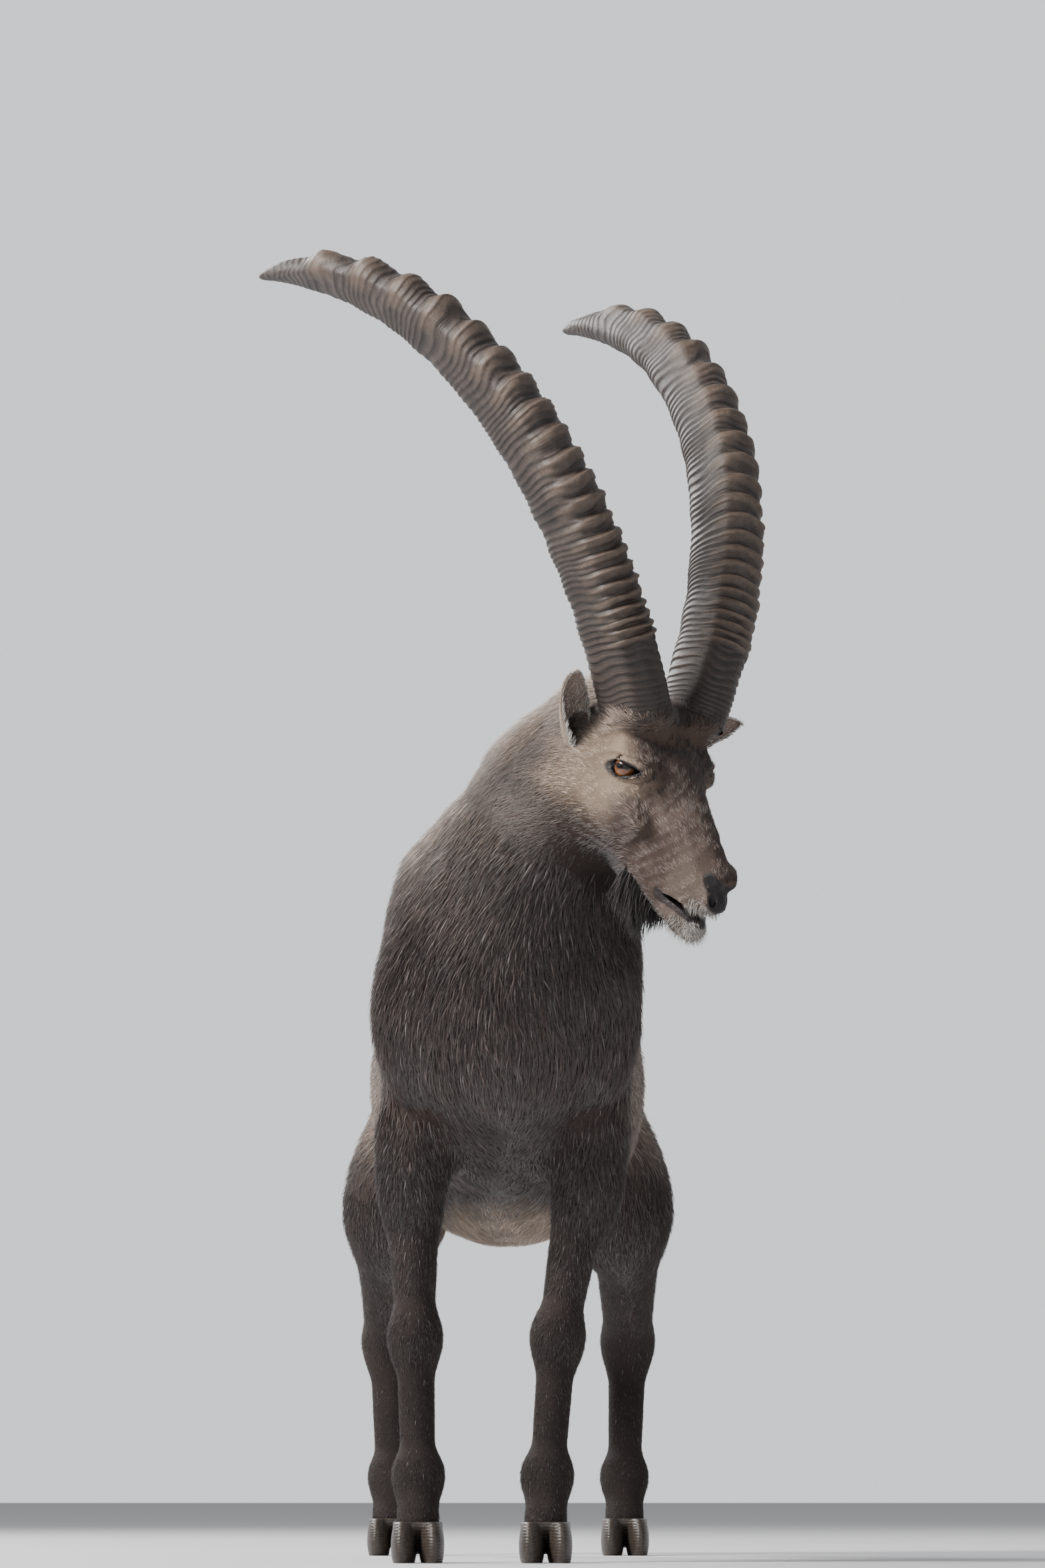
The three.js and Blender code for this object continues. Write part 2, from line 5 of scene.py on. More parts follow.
import bpy
import numpy as np
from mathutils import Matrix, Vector


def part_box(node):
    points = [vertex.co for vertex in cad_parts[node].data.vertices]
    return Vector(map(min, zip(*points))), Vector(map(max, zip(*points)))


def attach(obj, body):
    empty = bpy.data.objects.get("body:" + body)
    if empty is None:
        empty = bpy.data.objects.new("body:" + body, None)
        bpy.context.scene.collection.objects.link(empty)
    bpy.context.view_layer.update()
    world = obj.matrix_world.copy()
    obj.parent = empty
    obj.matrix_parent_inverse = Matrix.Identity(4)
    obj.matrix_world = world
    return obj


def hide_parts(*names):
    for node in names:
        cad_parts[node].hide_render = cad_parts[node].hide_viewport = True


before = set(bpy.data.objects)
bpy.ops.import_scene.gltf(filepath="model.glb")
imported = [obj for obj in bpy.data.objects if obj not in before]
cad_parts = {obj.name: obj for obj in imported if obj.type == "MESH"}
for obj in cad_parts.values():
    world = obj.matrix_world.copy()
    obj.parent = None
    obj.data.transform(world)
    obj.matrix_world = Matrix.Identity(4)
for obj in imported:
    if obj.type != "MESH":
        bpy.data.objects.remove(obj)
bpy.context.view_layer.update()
rng = np.random.default_rng(7)
SIDES = {"left": 1, "right": -1}
BOTH = tuple(SIDES.values())
norm = np.linalg.norm


def v(*a):
    return np.array(a, float)


def step01(x, a, b):
    """0 at a, 1 at b, smooth between."""
    t = np.clip((x - a) / (b - a), 0, 1)
    return t * t * (3 - 2 * t)


def under(x, low, high):
    """1 under low, 0 over high."""
    return step01(-x, -high, -low)


def within(x, inner, outer):
    """1 where x is nearer to zero than inner, 0 past outer."""
    return step01(-np.abs(x), -outer, -inner)


def bell(x, spread):
    return np.exp(-((x / spread) ** 2))


def unit(a):
    return a / np.maximum(norm(a, axis=-1, keepdims=True), 1e-9)


# Pose and sizes. In the head's frame x is across, y runs back from the nose to the poll at 0, and z up
POLL = v(176, -520, 961)
HEAD_YAW = math.radians(46.2)
FACE_PITCH = math.radians(62.9)
FACE_MIDDLE = v(0, -110, -60)
EYE = v(49, -66, -44)
EYE_RADIUS = 15.5
EYE_OUT = v(0.935, -0.269, 0.233)
EYE_BACK = v(0.354, 0.731, -0.58)
EYE_TIP = math.radians(9)
# The opening between the lids: middle and half length along the eye, height above and below
LID_MIDDLE, LID_HALF, LID_TOP, LID_LOW = 1.5, 22.5, 4.6, 7.4
# The mouth's corner and front, down the face from the poll
MOUTH_CORNER, MOUTH_LENGTH = 206, 60


def turn_z(a):
    return np.array([[math.cos(a), -math.sin(a), 0], [math.sin(a), math.cos(a), 0], [0, 0, 1]])


def turn_x(a):
    return np.array([[1, 0, 0], [0, math.cos(a), -math.sin(a)], [0, math.sin(a), math.cos(a)]])


LEVEL = turn_z(HEAD_YAW)
HEAD = LEVEL @ turn_x(FACE_PITCH)


def to_head(p):
    return (p - POLL) @ HEAD


def from_head(p):
    return p @ HEAD.T + POLL


def from_level(p):
    return p @ LEVEL.T + POLL


def near_face(p, near, far):
    """1 within near of the middle of the face, 0 past far."""
    return under(norm(p - from_head(FACE_MIDDLE), axis=1), near, far)


# The frame's origin is the middle of its box, so the eye tells how far the design was moved
eye_low, eye_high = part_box("eye_left")
SHIFT = np.array((eye_low + eye_high) / 2) * 1000 - from_head(EYE)


def metres(p):
    return (p + SHIFT) / 1000


# Fields: each form is a measure, under 0 inside it, and the width over which it blends with the rest
def limb(a, b, ra, rb, blend=40, wide=1.0):
    """A tapered rod from a to b, wide times as broad as it is deep."""
    a, b = np.array(a, np.float32), np.array(b, np.float32)
    ab = b - a

    def measure(p):
        t = np.clip((p - a) @ ab / (ab @ ab), 0, 1)
        d = p - a - t[:, None] * ab
        d[:, 0] /= wide
        return (np.sqrt((d * d).sum(1)) - ra - t * (rb - ra)) * min(1, wide)

    return measure, blend


def lump(c, half, blend=40, tilt=0, turn=0):
    """An ellipsoid of half sizes half, tilted about x and turned about z by degrees."""
    m = (turn_x(math.radians(-tilt)) @ turn_z(math.radians(-turn))).astype(np.float32)
    c, half = np.array(c, np.float32), np.array(half, np.float32)

    def measure(p):
        q = ((p - c) @ m.T) / half
        k0 = np.sqrt((q * q).sum(1))
        q /= half
        return k0 * (k0 - 1) / np.maximum(np.sqrt((q * q).sum(1)), 1e-6)

    return measure, blend


def melt(a, b, k):
    """Two fields joined, with a fillet k wide."""
    h = np.maximum(k - np.abs(a - b), 0)
    return np.minimum(a, b) - h * h / (4 * k)


def cut(a, b, k):
    """Field a without field b, with an edge rounded over k."""
    return -melt(-a, b, k)


def melted(forms):
    def measure(p):
        d = forms[0][0](p)
        for form, blend in forms[1:]:
            d = melt(d, form(p), blend)
        return d

    return measure


trunk_forms = [
    lump((0, -165, 645), (140, 335, 215)),  # ribs
    lump((0, 120, 566), (172, 320, 196), 60),  # belly
    lump((0, -235, 775), (58, 190, 100), 70),  # withers
    limb((0, -120, 775), (0, 330, 760), 74, 80, 60, 1.2),  # back
    lump((0, 410, 690), (128, 165, 146), 60),  # croup
    limb((0, -425, 565), (0, -230, 505), 84, 84, 50, 0.95),  # brisket
    lump((0, -395, 645), (120, 108, 130), 60),  # chest
]
for s in BOTH:
    trunk_forms += [
        lump((s * 82, -275, 680), (52, 105, 134), 50, 24),  # shoulder blade
        lump((s * 103, -370, 615), (54, 76, 98), 45),  # point of the shoulder
        lump((s * 98, -268, 545), (48, 84, 92), 45),  # upper arm
        lump((s * 90, 420, 610), (74, 150, 185), 55, -8),  # thigh
        lump((s * 88, 520, 565), (56, 66, 140), 45, 10),  # ham
        lump((s * 132, 350, 468), (62, 80, 104), 45),  # stifle
    ]

# Heights of the joints over the floor
KNEE, HOCK, ELBOW, STIFLE, FETLOCK, CORONET = 255, 268, 480, 425, 98, 40
fore_joints = {
    1: (v(96, -305, ELBOW), v(58, -335, KNEE), v(46, -342, FETLOCK), v(44, -368, CORONET)),
    -1: (v(-108, -305, ELBOW), v(-104, -335, KNEE), v(-100, -342, FETLOCK), v(-100, -368, CORONET)),
}
hind_joints = {
    s: (v(s * 148, 335, STIFLE), v(s * 151, 528, HOCK), v(s * 146, 500, FETLOCK), v(s * 146, 472, CORONET))
    for s in BOTH
}


def pastern(fetlock, foot):
    """The fetlock and the bone below it, alike on all four legs."""
    return [lump(fetlock, (28, 30, 29), 20), limb(fetlock, foot, 24, 26, 20, 1.05)]


leg_forms = []
for s in BOTH:
    elbow, knee, fetlock, foot = fore_joints[s]
    leg_forms += [
        limb(elbow, knee, 48, 29, 40, 0.85),  # forearm
        lump(elbow + v(s * 2, -10, -36), (39, 50, 74), 35),  # its muscle
        lump(knee, (31, 34, 38), 20),
        limb(knee, fetlock, 25, 22, 20, 1),
        *pastern(fetlock, foot),
    ]
    stifle, hock, fetlock, foot = hind_joints[s]
    heel = hock + v(0, 34, 40)
    leg_forms += [
        lump(stifle + v(-s * 8, 20, 10), (54, 76, 84), 40),
        limb(stifle + v(0, 20, -10), hock, 60, 34, 45, 0.85),  # gaskin
        limb((s * 118, 460, 455), hock + v(0, -6, 66), 56, 34, 40, 0.75),  # calf
        limb((s * 116, 490, 470), heel, 40, 16, 30, 0.85),  # tendon
        lump(hock, (29, 36, 40), 25),
        limb(hock, heel, 24, 17, 18),
        limb(hock, fetlock, 27, 23, 22),
        *pastern(fetlock, foot),
    ]
leg_forms += [  # tail
    limb((0, 520, 770), (0, 590, 740), 28, 22, 20, 1.2),
    limb((0, 590, 740), (0, 608, 665), 22, 12, 20, 1.2),
]

neck_joints = [
    (v(0, -270, 690), 130),
    (v(10, -335, 745), 120),
    (v(34, -388, 805), 101),
    (v(66, -424, 872), 86),
    (v(108, -458, 925), 76),
]
neck_forms = [limb(a, b, ra, rb, 50, 0.95) for (a, ra), (b, rb) in zip(neck_joints, neck_joints[1:])]

head_forms = [
    lump((0, -26, -50), (57, 60, 52), 20),  # skull
    lump((0, -58, -34), (52, 60, 33), 20),  # forehead
    limb((0, -80, -32), (0, -206, -21), 31, 17, 20, 1.05),  # bridge of the nose
    limb((0, -95, -66), (0, -206, -45), 45, 23, 24, 0.98),  # muzzle
    limb((0, -60, -96), (0, -120, -92), 46, 36, 30),  # cheeks
    limb((0, -125, -84), (0, -222, -62), 36, 21, 18),  # upper lip
    lump((0, -222, -18), (18, 14, 15), 10),  # nose
    lump((0, -236, -38), (20, 19, 16), 12),  # nose tip
]
for s in BOTH:
    head_forms += [
        lump((s * 42, -16, -11), (38, 44, 25), 20, -54),  # root of the horn
        lump((s * 46, -66, -29), (22, 30, 20), 16, 0, s * 10),  # brow
        lump((s * 34, -74, -104), (25, 56, 50), 28),  # jaw muscle
        lump((s * 11, -221, -18), (10, 15, 12), 8),  # wing of the nostril
        lump((s * 45, -100, -62), (14, 38, 13), 18),  # cheekbone
        lump(EYE * v(s, 1, 1), (18.5, 18.5, 18.5), 5),  # lids
    ]
head_forms += [
    limb((0, -80, -116), (0, -150, -108), 36, 26, 24, 1),  # throat
    limb((0, -150, -108), (0, -232, -89), 27, 16, 16, 1.15),  # lower jaw
    lump((0, -242, -81), (19, 23, 18), 10),  # chin
]
trunk, legs, neck, head_mass = map(melted, (trunk_forms, leg_forms, neck_forms, head_forms))


def eye_axes(s):
    """The eye's middle, its way backward along the lids, up, and out."""
    out = EYE_OUT * v(s, 1, 1)
    out /= norm(out)
    back = EYE_BACK * v(s, 1, 1)
    back -= out * (back @ out)
    back /= norm(back)
    up = np.cross(out, back)
    if up[2] < 0:
        up = -up
    cos, sin = math.cos(EYE_TIP), math.sin(EYE_TIP)
    return EYE * v(s, 1, 1), back * cos - up * sin, up * cos + back * sin, out


def lid_arch(a):
    """How far the lids have opened, 1 at their middle and 0 at the corners."""
    return 1 - ((a - LID_MIDDLE) / LID_HALF) ** 2


def mouth_line(f):
    """Height of the line between the lips, a distance f down the face."""
    t = np.clip((f - MOUTH_CORNER) / MOUTH_LENGTH, -0.05, 2)
    return -83 + 28 * t + 3 * np.sin(np.pi * np.clip(t, 0, 1))


def head_field(q):
    """The head in its own frame, with the eyes' openings, nostrils and mouth cut in."""
    d = head_mass(q)
    for s in BOTH:
        c, back, up, out = eye_axes(s)
        r = q - c
        a, b, o = r @ back, r @ up, r @ out
        # The rim of the lids, the crease above them, the fold over it and the one below
        ring = np.hypot((a - 1) / 24, (b + 1) / 9.5)
        swell = 1.3 * bell(ring - 1.1, 0.12) - 1.7 * bell(ring - 1.52, 0.13) * step01(b, -22, 4)
        swell += 1.4 * bell(ring - 2.0, 0.28) * step01(b, -4, 12)
        swell -= 0.9 * bell(ring - 1.6, 0.12) * under(b, -10, -2)
        d = d - swell * step01(o, -2, 8)
        above, below = b - LID_TOP * lid_arch(a), -b - LID_LOW * lid_arch(a)
        slit = np.maximum(np.maximum(above, below), 4 - o)
        d = np.maximum(d, -slit)
        d = np.maximum(d, EYE_RADIUS + 0.25 - np.sqrt((r * r).sum(1)))
        turn = (s * 18, -238, -21)
        nostril = limb((s * 28, -219, -12), turn, 4.4, 5.2)[0](q)
        nostril = melt(nostril, limb(turn, (s * 10, -246, -33), 4.6, 2.0)[0](q), 3)
        d = cut(d, nostril, 4)
    y = q[:, 1]
    open_at = np.clip((-MOUTH_CORNER - y) / MOUTH_LENGTH, 0, 1)
    gape = 4.0 * open_at**0.7
    wedge = np.maximum(np.abs(q[:, 2] - mouth_line(-y)) - gape, y + 204)
    cheek = ripple(q, 34, 31) + 0.6 * ripple(q, 15, 32)
    return cut(d, wedge, 3) + (cheek - 0.8).astype(np.float32) * 1.6


# A ball that holds the whole head, outside which the head's field isn't worked out
HEAD_ROOM, HEAD_ROOM_RADIUS = v(150, -480, 860).astype(np.float32), 330


def skin_field(p):
    d = melt(trunk(p), legs(p), 40)
    d = melt(d, neck(p), 60)
    near = norm(p - HEAD_ROOM, axis=1) < HEAD_ROOM_RADIUS
    if near.any():
        h = np.full(len(p), 1e3, np.float32)
        h[near] = head_field(to_head(p[near]).astype(np.float32))
        d = melt(d, h, 30)
    return d


def coat_depth(p):
    """How deep the skin lies under the outline: more up the legs, little on the face."""
    body = 3.0 + 6.0 * np.clip((p[:, 2] - 230) / 330, 0, 1)
    face = np.clip((to_head(p)[:, 1] + 20) / 80, 0, 1)
    return body + near_face(p, 190, 260) * (1 - face) * (1.2 - body)


def inner_field(p):
    return skin_field(p) + coat_depth(p).astype(np.float32)


# Meshing
def block_corners(count):
    """Whole-number positions of a block of points, with its count along each axis."""
    return np.stack(np.meshgrid(*[np.arange(n) for n in count], indexing="ij"), -1).reshape(-1, 3)


def surface(field, low, high, step, coarse=4):
    """A closed quad mesh of field = 0 in a box, with a vertex in each cell that it crosses."""
    # Coarse blocks say which side they lie on, and only those near the surface are sampled finely
    n = np.ceil((high - low) / step / coarse).astype(int) * coarse + 1
    values = np.full(n, 1.0, np.float32)
    blocks = (n - 1) // coarse
    idx = block_corners(blocks)
    at = field((low + (idx + 0.5) * coarse * step).astype(np.float32))
    side = np.zeros(blocks, np.float32)
    side[tuple(idx.T)] = np.where(at < 0, -1, 1)
    values[:-1, :-1, :-1] = side.repeat(coarse, 0).repeat(coarse, 1).repeat(coarse, 2)
    active = idx[np.abs(at) < coarse * step * 1.3]
    pts = (active[:, None, :] * coarse + block_corners([coarse + 1] * 3)[None]).reshape(-1, 3)
    flat = np.unique(np.ravel_multi_index(pts.T, n))
    pts = np.stack(np.unravel_index(flat, n), -1)
    values.reshape(-1)[flat] = field((low + pts * step).astype(np.float32))

    # A cell with corners on both sides gets a vertex, in the middle of its edges' crossings
    neg = values < 0
    corners = [(i, j, k) for i in (0, 1) for j in (0, 1) for k in (0, 1)]
    view = {c: values[tuple(slice(c[i], n[i] - 1 + c[i]) for i in range(3))] for c in corners}
    count = sum((view[c] < 0).astype(np.int8) for c in corners)
    cell = np.argwhere((count > 0) & (count < 8))
    number = -np.ones(n - 1, np.int64)
    number[tuple(cell.T)] = np.arange(len(cell))
    total, weight = np.zeros((len(cell), 3)), np.zeros(len(cell))
    got = {c: view[c][tuple(cell.T)] for c in corners}
    for a in corners:
        for axis in range(3):
            if a[axis]:
                continue
            b = tuple(1 if i == axis else a[i] for i in range(3))
            va, vb = got[a], got[b]
            cross = (va < 0) != (vb < 0)
            t = va / np.where(va == vb, 1, va - vb)
            point = np.array(a, float)[None] + t[:, None] * (np.arange(3) == axis)
            total[cross] += point[cross]
            weight[cross] += 1
    verts = low + (cell + total / weight[:, None]) * step

    # An edge that crosses the surface joins the vertices of the four cells round it
    faces = []
    for axis in range(3):
        lo = [slice(1, n[i] - 1) for i in range(3)]
        lo[axis] = slice(0, n[axis] - 1)
        hi = list(lo)
        hi[axis] = slice(1, n[axis])
        e = np.argwhere(neg[tuple(lo)] != neg[tuple(hi)])
        e += np.arange(3) != axis
        du, dw = (np.eye(3, dtype=int)[(axis + turn) % 3] for turn in (1, 2))
        quad = np.stack([number[tuple((e - d).T)] for d in (du + dw, dw, 0 * du, du)], 1)
        out = neg[tuple(e.T)]
        quad[~out] = quad[~out][:, ::-1]
        faces.append(quad)
    faces = np.concatenate(faces)
    faces = faces[(faces >= 0).all(1)]
    for _ in range(2):
        d, g = slope(field, verts)
        verts = verts - np.clip(d, -step, step)[:, None] * g
    return verts, faces


def slope(field, p, e=0.5):
    """The distance to the field's surface and the field's unit gradient at points."""
    p = p.astype(np.float32)
    d = field(p)
    steps = e * np.eye(3, dtype=np.float32)
    g = np.stack([field(p + steps[i]) - d for i in range(3)], 1)
    size = np.maximum(norm(g, axis=1), 1e-6)
    return d * e / size, g / size[:, None]


def compact(verts, faces):
    """Only the vertices that the faces use."""
    used, new = np.unique(faces, return_inverse=True)
    return verts[used], new.reshape(faces.shape)


def tube_quads(rows, around):
    """Quads of a tube of rows rings, each of around vertices, numbered ring by ring."""
    i, j = np.meshgrid(np.arange(rows - 1), np.arange(around), indexing="ij")
    here, beside = i * around + j, i * around + (j + 1) % around
    return np.stack([here, beside, beside + around, here + around], -1).reshape(-1, 4)


def mesh_object(name, verts, faces, look, colour=None, uv=None, bareness=None):
    """A mesh from arrays in design units; faces is (n, 3) or (n, 4)."""
    me = bpy.data.meshes.new(name)
    k = faces.shape[1]
    me.vertices.add(len(verts))
    me.vertices.foreach_set("co", metres(verts).astype(np.float32).ravel())
    me.loops.add(faces.size)
    me.loops.foreach_set("vertex_index", faces.astype(np.int32).ravel())
    me.polygons.add(len(faces))
    me.polygons.foreach_set("loop_start", np.arange(0, faces.size, k, dtype=np.int32))
    me.polygons.foreach_set("loop_total", np.full(len(faces), k, np.int32))
    me.polygons.foreach_set("use_smooth", np.full(len(faces), True))
    me.materials.append(look)
    if colour is not None:
        layer = me.color_attributes.new("Tint", "FLOAT_COLOR", "POINT")
        opaque = np.c_[colour, np.ones(len(colour))]
        layer.data.foreach_set("color", opaque.astype(np.float32).ravel())
    if bareness is not None:
        layer = me.attributes.new("Bare", "FLOAT", "POINT")
        layer.data.foreach_set("value", bareness.astype(np.float32))
    me.update(calc_edges=True)
    me.validate()
    if uv is not None:
        layer = me.uv_layers.new(name="OFBake")
        layer.data.foreach_set("uv", uv[faces.ravel()].astype(np.float32).ravel())
    o = bpy.data.objects.new(name, me)
    bpy.context.scene.collection.objects.link(o)
    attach(o, "root")
    return o


# Markings
def srgb(r, g, b):
    c = np.array([r, g, b]) / 255
    return np.where(c < 0.04045, c / 12.92, ((c + 0.055) / 1.055) ** 2.4)


def ripple(p, size, seed=0):
    """A cheap smooth noise in 0 to 1 from a few waves, about size long."""
    r = np.random.default_rng(seed)
    total = np.zeros(len(p))
    for _ in range(7):
        way = r.normal(size=3)
        way *= r.uniform(0.6, 1.7) / norm(way) * 2 * math.pi / size
        total += np.sin(p @ way + r.uniform(0, 6.28))
    return 0.5 + total / 9


GREY = srgb(118, 102, 95)
BACK = srgb(104, 88, 80)
DARK = srgb(54, 45, 42)
CHEST = srgb(64, 52, 48)
BEIGE = srgb(162, 142, 124)
PALE = srgb(160, 145, 134)
WHITE = srgb(200, 194, 188)
FACE = srgb(82, 68, 62)
BROWN = srgb(92, 75, 65)
MUZZLE = srgb(108, 95, 87)
LIPS = srgb(50, 44, 44)
MANE = srgb(66, 55, 52)
NOSE = srgb(32, 29, 31)
GUMS = srgb(26, 17, 17)
BEARD = srgb(38, 32, 30)
LASH = srgb(20, 17, 17)


def mix(a, b, t):
    """Colour or way a where t is 0, b where it is 1."""
    t = np.asarray(t)[:, None]
    return a * (1 - t) + b * t


def face_marking(u, f, w, n2, n3):
    """The head's colour at u from its middle, f down the face and w up; n2 and n3 are noise."""
    cheek = step01(u + 6 * n3, 28, 46) * within(f - 58 + 14 * n2, 18, 58)
    h = mix(FACE, BEIGE, cheek * under(w - 10 * n2, -36, -8) * 0.95)
    rear_cheek = under(w, -60, -30) * step01(w, -116, -86) * step01(u, 30, 48)
    h = mix(h, BEIGE * 0.85, 0.8 * within(f - 30, 10, 60) * rear_cheek)
    brow = within(f - 20, 8, 36) * step01(w, -22, 6) * step01(u, 14, 40)
    h = mix(h, BEIGE * 0.6, 0.5 * brow)
    crown = within(f - 40, 12, 44) * step01(w, -28, -6) * under(u, 14, 40)
    h = mix(h, BROWN, 0.75 * crown)
    streak = step01(n3 + 0.7 * n2, 0.04, 0.3)
    h = mix(h, PALE * 0.8, 0.16 * streak * step01(f, 70, 110) * under(f, 170, 205))
    jaw_line = step01(f, 96, 120) * within(w + 82 + 12 * n2, 8, 26) * under(f, 140, 180)
    h = mix(h, FACE * 0.72, 0.6 * jaw_line)
    muzzle = step01(f + 0.55 * w + 5 * n2, 148, 166) * under(w, -34, -20)
    h = mix(h, MUZZLE, 0.9 * muzzle)
    h = mix(h, GREY * 0.8, 0.55 * step01(f, 208, 222) * within(w + 44, 5, 14))
    upper_lip = step01(f, 238, 250) * under(w, -46, -38) * step01(w, -66, -58)
    h = mix(h, WHITE * 0.9, 0.85 * upper_lip)
    # Painted shade under the jaw and the throat
    h = mix(h, DARK * 1.1, 0.8 * under(w, -116, -96) * step01(f, 30, 90))
    return mix(h, WHITE * 0.75, 0.8 * step01(f + 0.3 * w, 222, 234) * under(w, -66, -58))


def marking(p):
    """The coat's colour at points of the ground frame."""
    x, y, z = p.T
    n = ripple(p, 160, 1) - 0.5
    n2 = ripple(p, 45, 2) - 0.5
    n3 = ripple(p, 17, 3) - 0.5
    c = mix(GREY, BACK, step01(z + 60 * n, 690, 830) * step01(y, -200, 0))
    flank = within(z - 560 + 40 * n, 20, 90) * step01(y, -150, 0)
    c = mix(c, BEIGE * 0.8, 0.5 * flank)
    # The pale neck and the dark chest meet on a slanting line; the neck's paleness is partly its own
    # colour and partly painted light from the left
    front = under(y - 50 * n, -340, -180)
    level = z + 0.25 * x + 40 * n
    c = mix(c, PALE * 0.85, 0.9 * front * step01(level, 655, 800))
    c = mix(c, CHEST, 0.92 * front * under(level, 665, 790))
    # Dark legs, darker at the bottom
    c = mix(c, DARK, under(z - 50 * n, 430, 530) * 0.95)
    c = mix(c, DARK * 0.8, under(z, 200, 300))
    belly = under(z, 395, 430) * step01(y, -250, -150) * within(x, 60, 110)
    c = mix(c, BEIGE, 0.8 * belly)
    spine = within(x, 8, 26) * step01(z, 780, 830) * step01(y, -200, -100)
    c = mix(c, DARK, 0.7 * spine)
    rump = step01(y, 520, 570) * step01(z, 520, 600) * within(x, 40, 70)
    c = mix(c, WHITE, 0.7 * rump)
    # The neck behind the head: a dark mane along its middle and a pale patch below the ears
    q = to_head(p)
    u, f, w = np.abs(q[:, 0]), -q[:, 1], q[:, 2]
    neck_near = under(norm(p - v(80, -440, 880), axis=1), 150, 330)
    mane = step01(w + 0.2 * f + 14 * n2, -150, -95) * under(f, -85, -55) * within(q[:, 0] + 6, 30, 62)
    c = mix(c, MANE, 0.85 * mane * neck_near)
    patch = within(f + 55, 20, 70) * under(w, -90, -60) * neck_near
    c = mix(c, BEIGE * 0.9, 0.55 * patch * under(w, -110, -60) * step01(w, -190, -150))
    in_head = step01(f, -50, 20) * near_face(p, 170, 260)
    c = mix(c, face_marking(u, f, w, n2, n3), in_head)
    # Painted shade under the jaw: the throat darkened
    throat = neck_near * step01(f, -10, 40) * under(w, -135, -108)
    c = mix(c, CHEST * 0.8, 0.75 * throat)
    return np.clip(c * (1 + (0.3 * n2 + 0.2 * n3) * (1 - 0.5 * in_head))[:, None], 0, 1)


def bare(q):
    """1 on the bare dark skin of the nose, lips and eye rims, 0 on fur; q in the head's frame."""
    f, w = -q[:, 1], q[:, 2]
    folded = np.c_[np.abs(q[:, 0]), q[:, 1:]]
    best = np.full(len(q), 9.0)
    for place, middle, half in (
        (q, v(0, -247, -26), v(19, 17, 18)),  # nose
        (folded, v(19, -233, -19), v(13, 17, 10.5)),  # wings of the nostrils
        (q, v(0, -257, -40), v(2.5, 10, 14)),  # groove of the upper lip
    ):
        best = np.minimum(best, norm((place - middle) / half, axis=1))
    lip = np.hypot((w - mouth_line(f) + 5.0) / 6.2, np.clip(200 - f, 0, 99) / 8)
    best = np.minimum(best, np.where(f > 190, lip, 9))
    for s in BOTH:
        c, back, up, out = eye_axes(s)
        r = q - c
        a, b, o = r @ back, r @ up, r @ out
        rim = np.hypot((a - 0.5) / 25.5, (b + 1.4) / 10.6)
        tear = np.hypot((a + 22) / 8, (b + 2.5) / 5.5)
        best = np.minimum(best, np.where(o > 0, rim, 9))
        best = np.minimum(best, np.where(o > -10, tear, 9))
    return under(best, 0.88, 1.15)


# Materials
def node(tree, kind, links=(), **props):
    """A node with its links, and its inputs or settings by name, _ for a blank."""
    n = tree.nodes.new(kind)
    for key, val in props.items():
        socket = key.replace("_", " ")
        if socket in n.inputs.keys():
            n.inputs[socket].default_value = val
        else:
            setattr(n, key, val)
    for target, source in links:
        tree.links.new(source, n.inputs[target])
    return n


def material(name, rough, **sockets):
    """A material with its tree, its shader and the object's own coordinates."""
    m = bpy.data.materials.new(name)
    m.use_nodes = True
    shader = m.node_tree.nodes["Principled BSDF"]
    for key, val in {"Roughness": rough, **sockets}.items():
        shader.inputs[key.replace("_", " ")].default_value = val
    return m, m.node_tree, shader, node(m.node_tree, "ShaderNodeTexCoord").outputs["Object"]


def noise(tree, where, scale, detail, **props):
    made = node(tree, "ShaderNodeTexNoise", [("Vector", where)], Scale=scale, Detail=detail, **props)
    return made.outputs["Fac"]


def ranged(tree, value, low, high, **props):
    made = node(tree, "ShaderNodeMapRange", [("Value", value)], To_Min=low, To_Max=high, **props)
    return made.outputs["Result"]


def tinted(tree, shader, grain):
    """The mesh's own Tint times a grain, as the shader's colour."""
    tint = node(tree, "ShaderNodeAttribute", attribute_name="Tint")
    both = node(tree, "ShaderNodeMix", data_type="RGBA", blend_type="MULTIPLY")
    both.inputs[0].default_value = 1.0
    tree.links.new(tint.outputs["Color"], both.inputs[6])
    tree.links.new(grain, both.inputs[7])
    tree.links.new(both.outputs[2], shader.inputs["Base Color"])


def bumped(tree, shader, height, strength, distance):
    b = node(tree, "ShaderNodeBump", [("Height", height)], Strength=strength, Distance=distance)
    tree.links.new(b.outputs["Normal"], shader.inputs["Normal"])


def skin_material():
    m, t, sh, where = material("ibex_skin", 0.75, Specular_IOR_Level=0.25)
    fine = noise(t, where, 420.0, 4.0)
    tinted(t, sh, ranged(t, fine, 0.55, 1.35))
    # Bare skin is moist
    bare_at = node(t, "ShaderNodeAttribute", attribute_name="Bare")
    t.links.new(ranged(t, bare_at.outputs["Fac"], 0.85, 0.38), sh.inputs["Roughness"])
    cells = node(t, "ShaderNodeTexVoronoi", [("Vector", where)], Scale=700.0)
    both = node(t, "ShaderNodeMath", [(0, fine), (1, cells.outputs["Distance"])], operation="ADD")
    bumped(t, sh, both.outputs[0], 0.5, 0.001)
    return m


def coat_material():
    sheen = dict(Sheen_Weight=0.15, Sheen_Roughness=0.5)
    m, t, sh, where = material("ibex_coat", 0.62, Specular_IOR_Level=0.35, **sheen)
    fine = noise(t, where, 900.0, 2.0)
    tinted(t, sh, ranged(t, fine, 0.75, 1.25))
    bumped(t, sh, fine, 0.25, 0.0005)
    return m


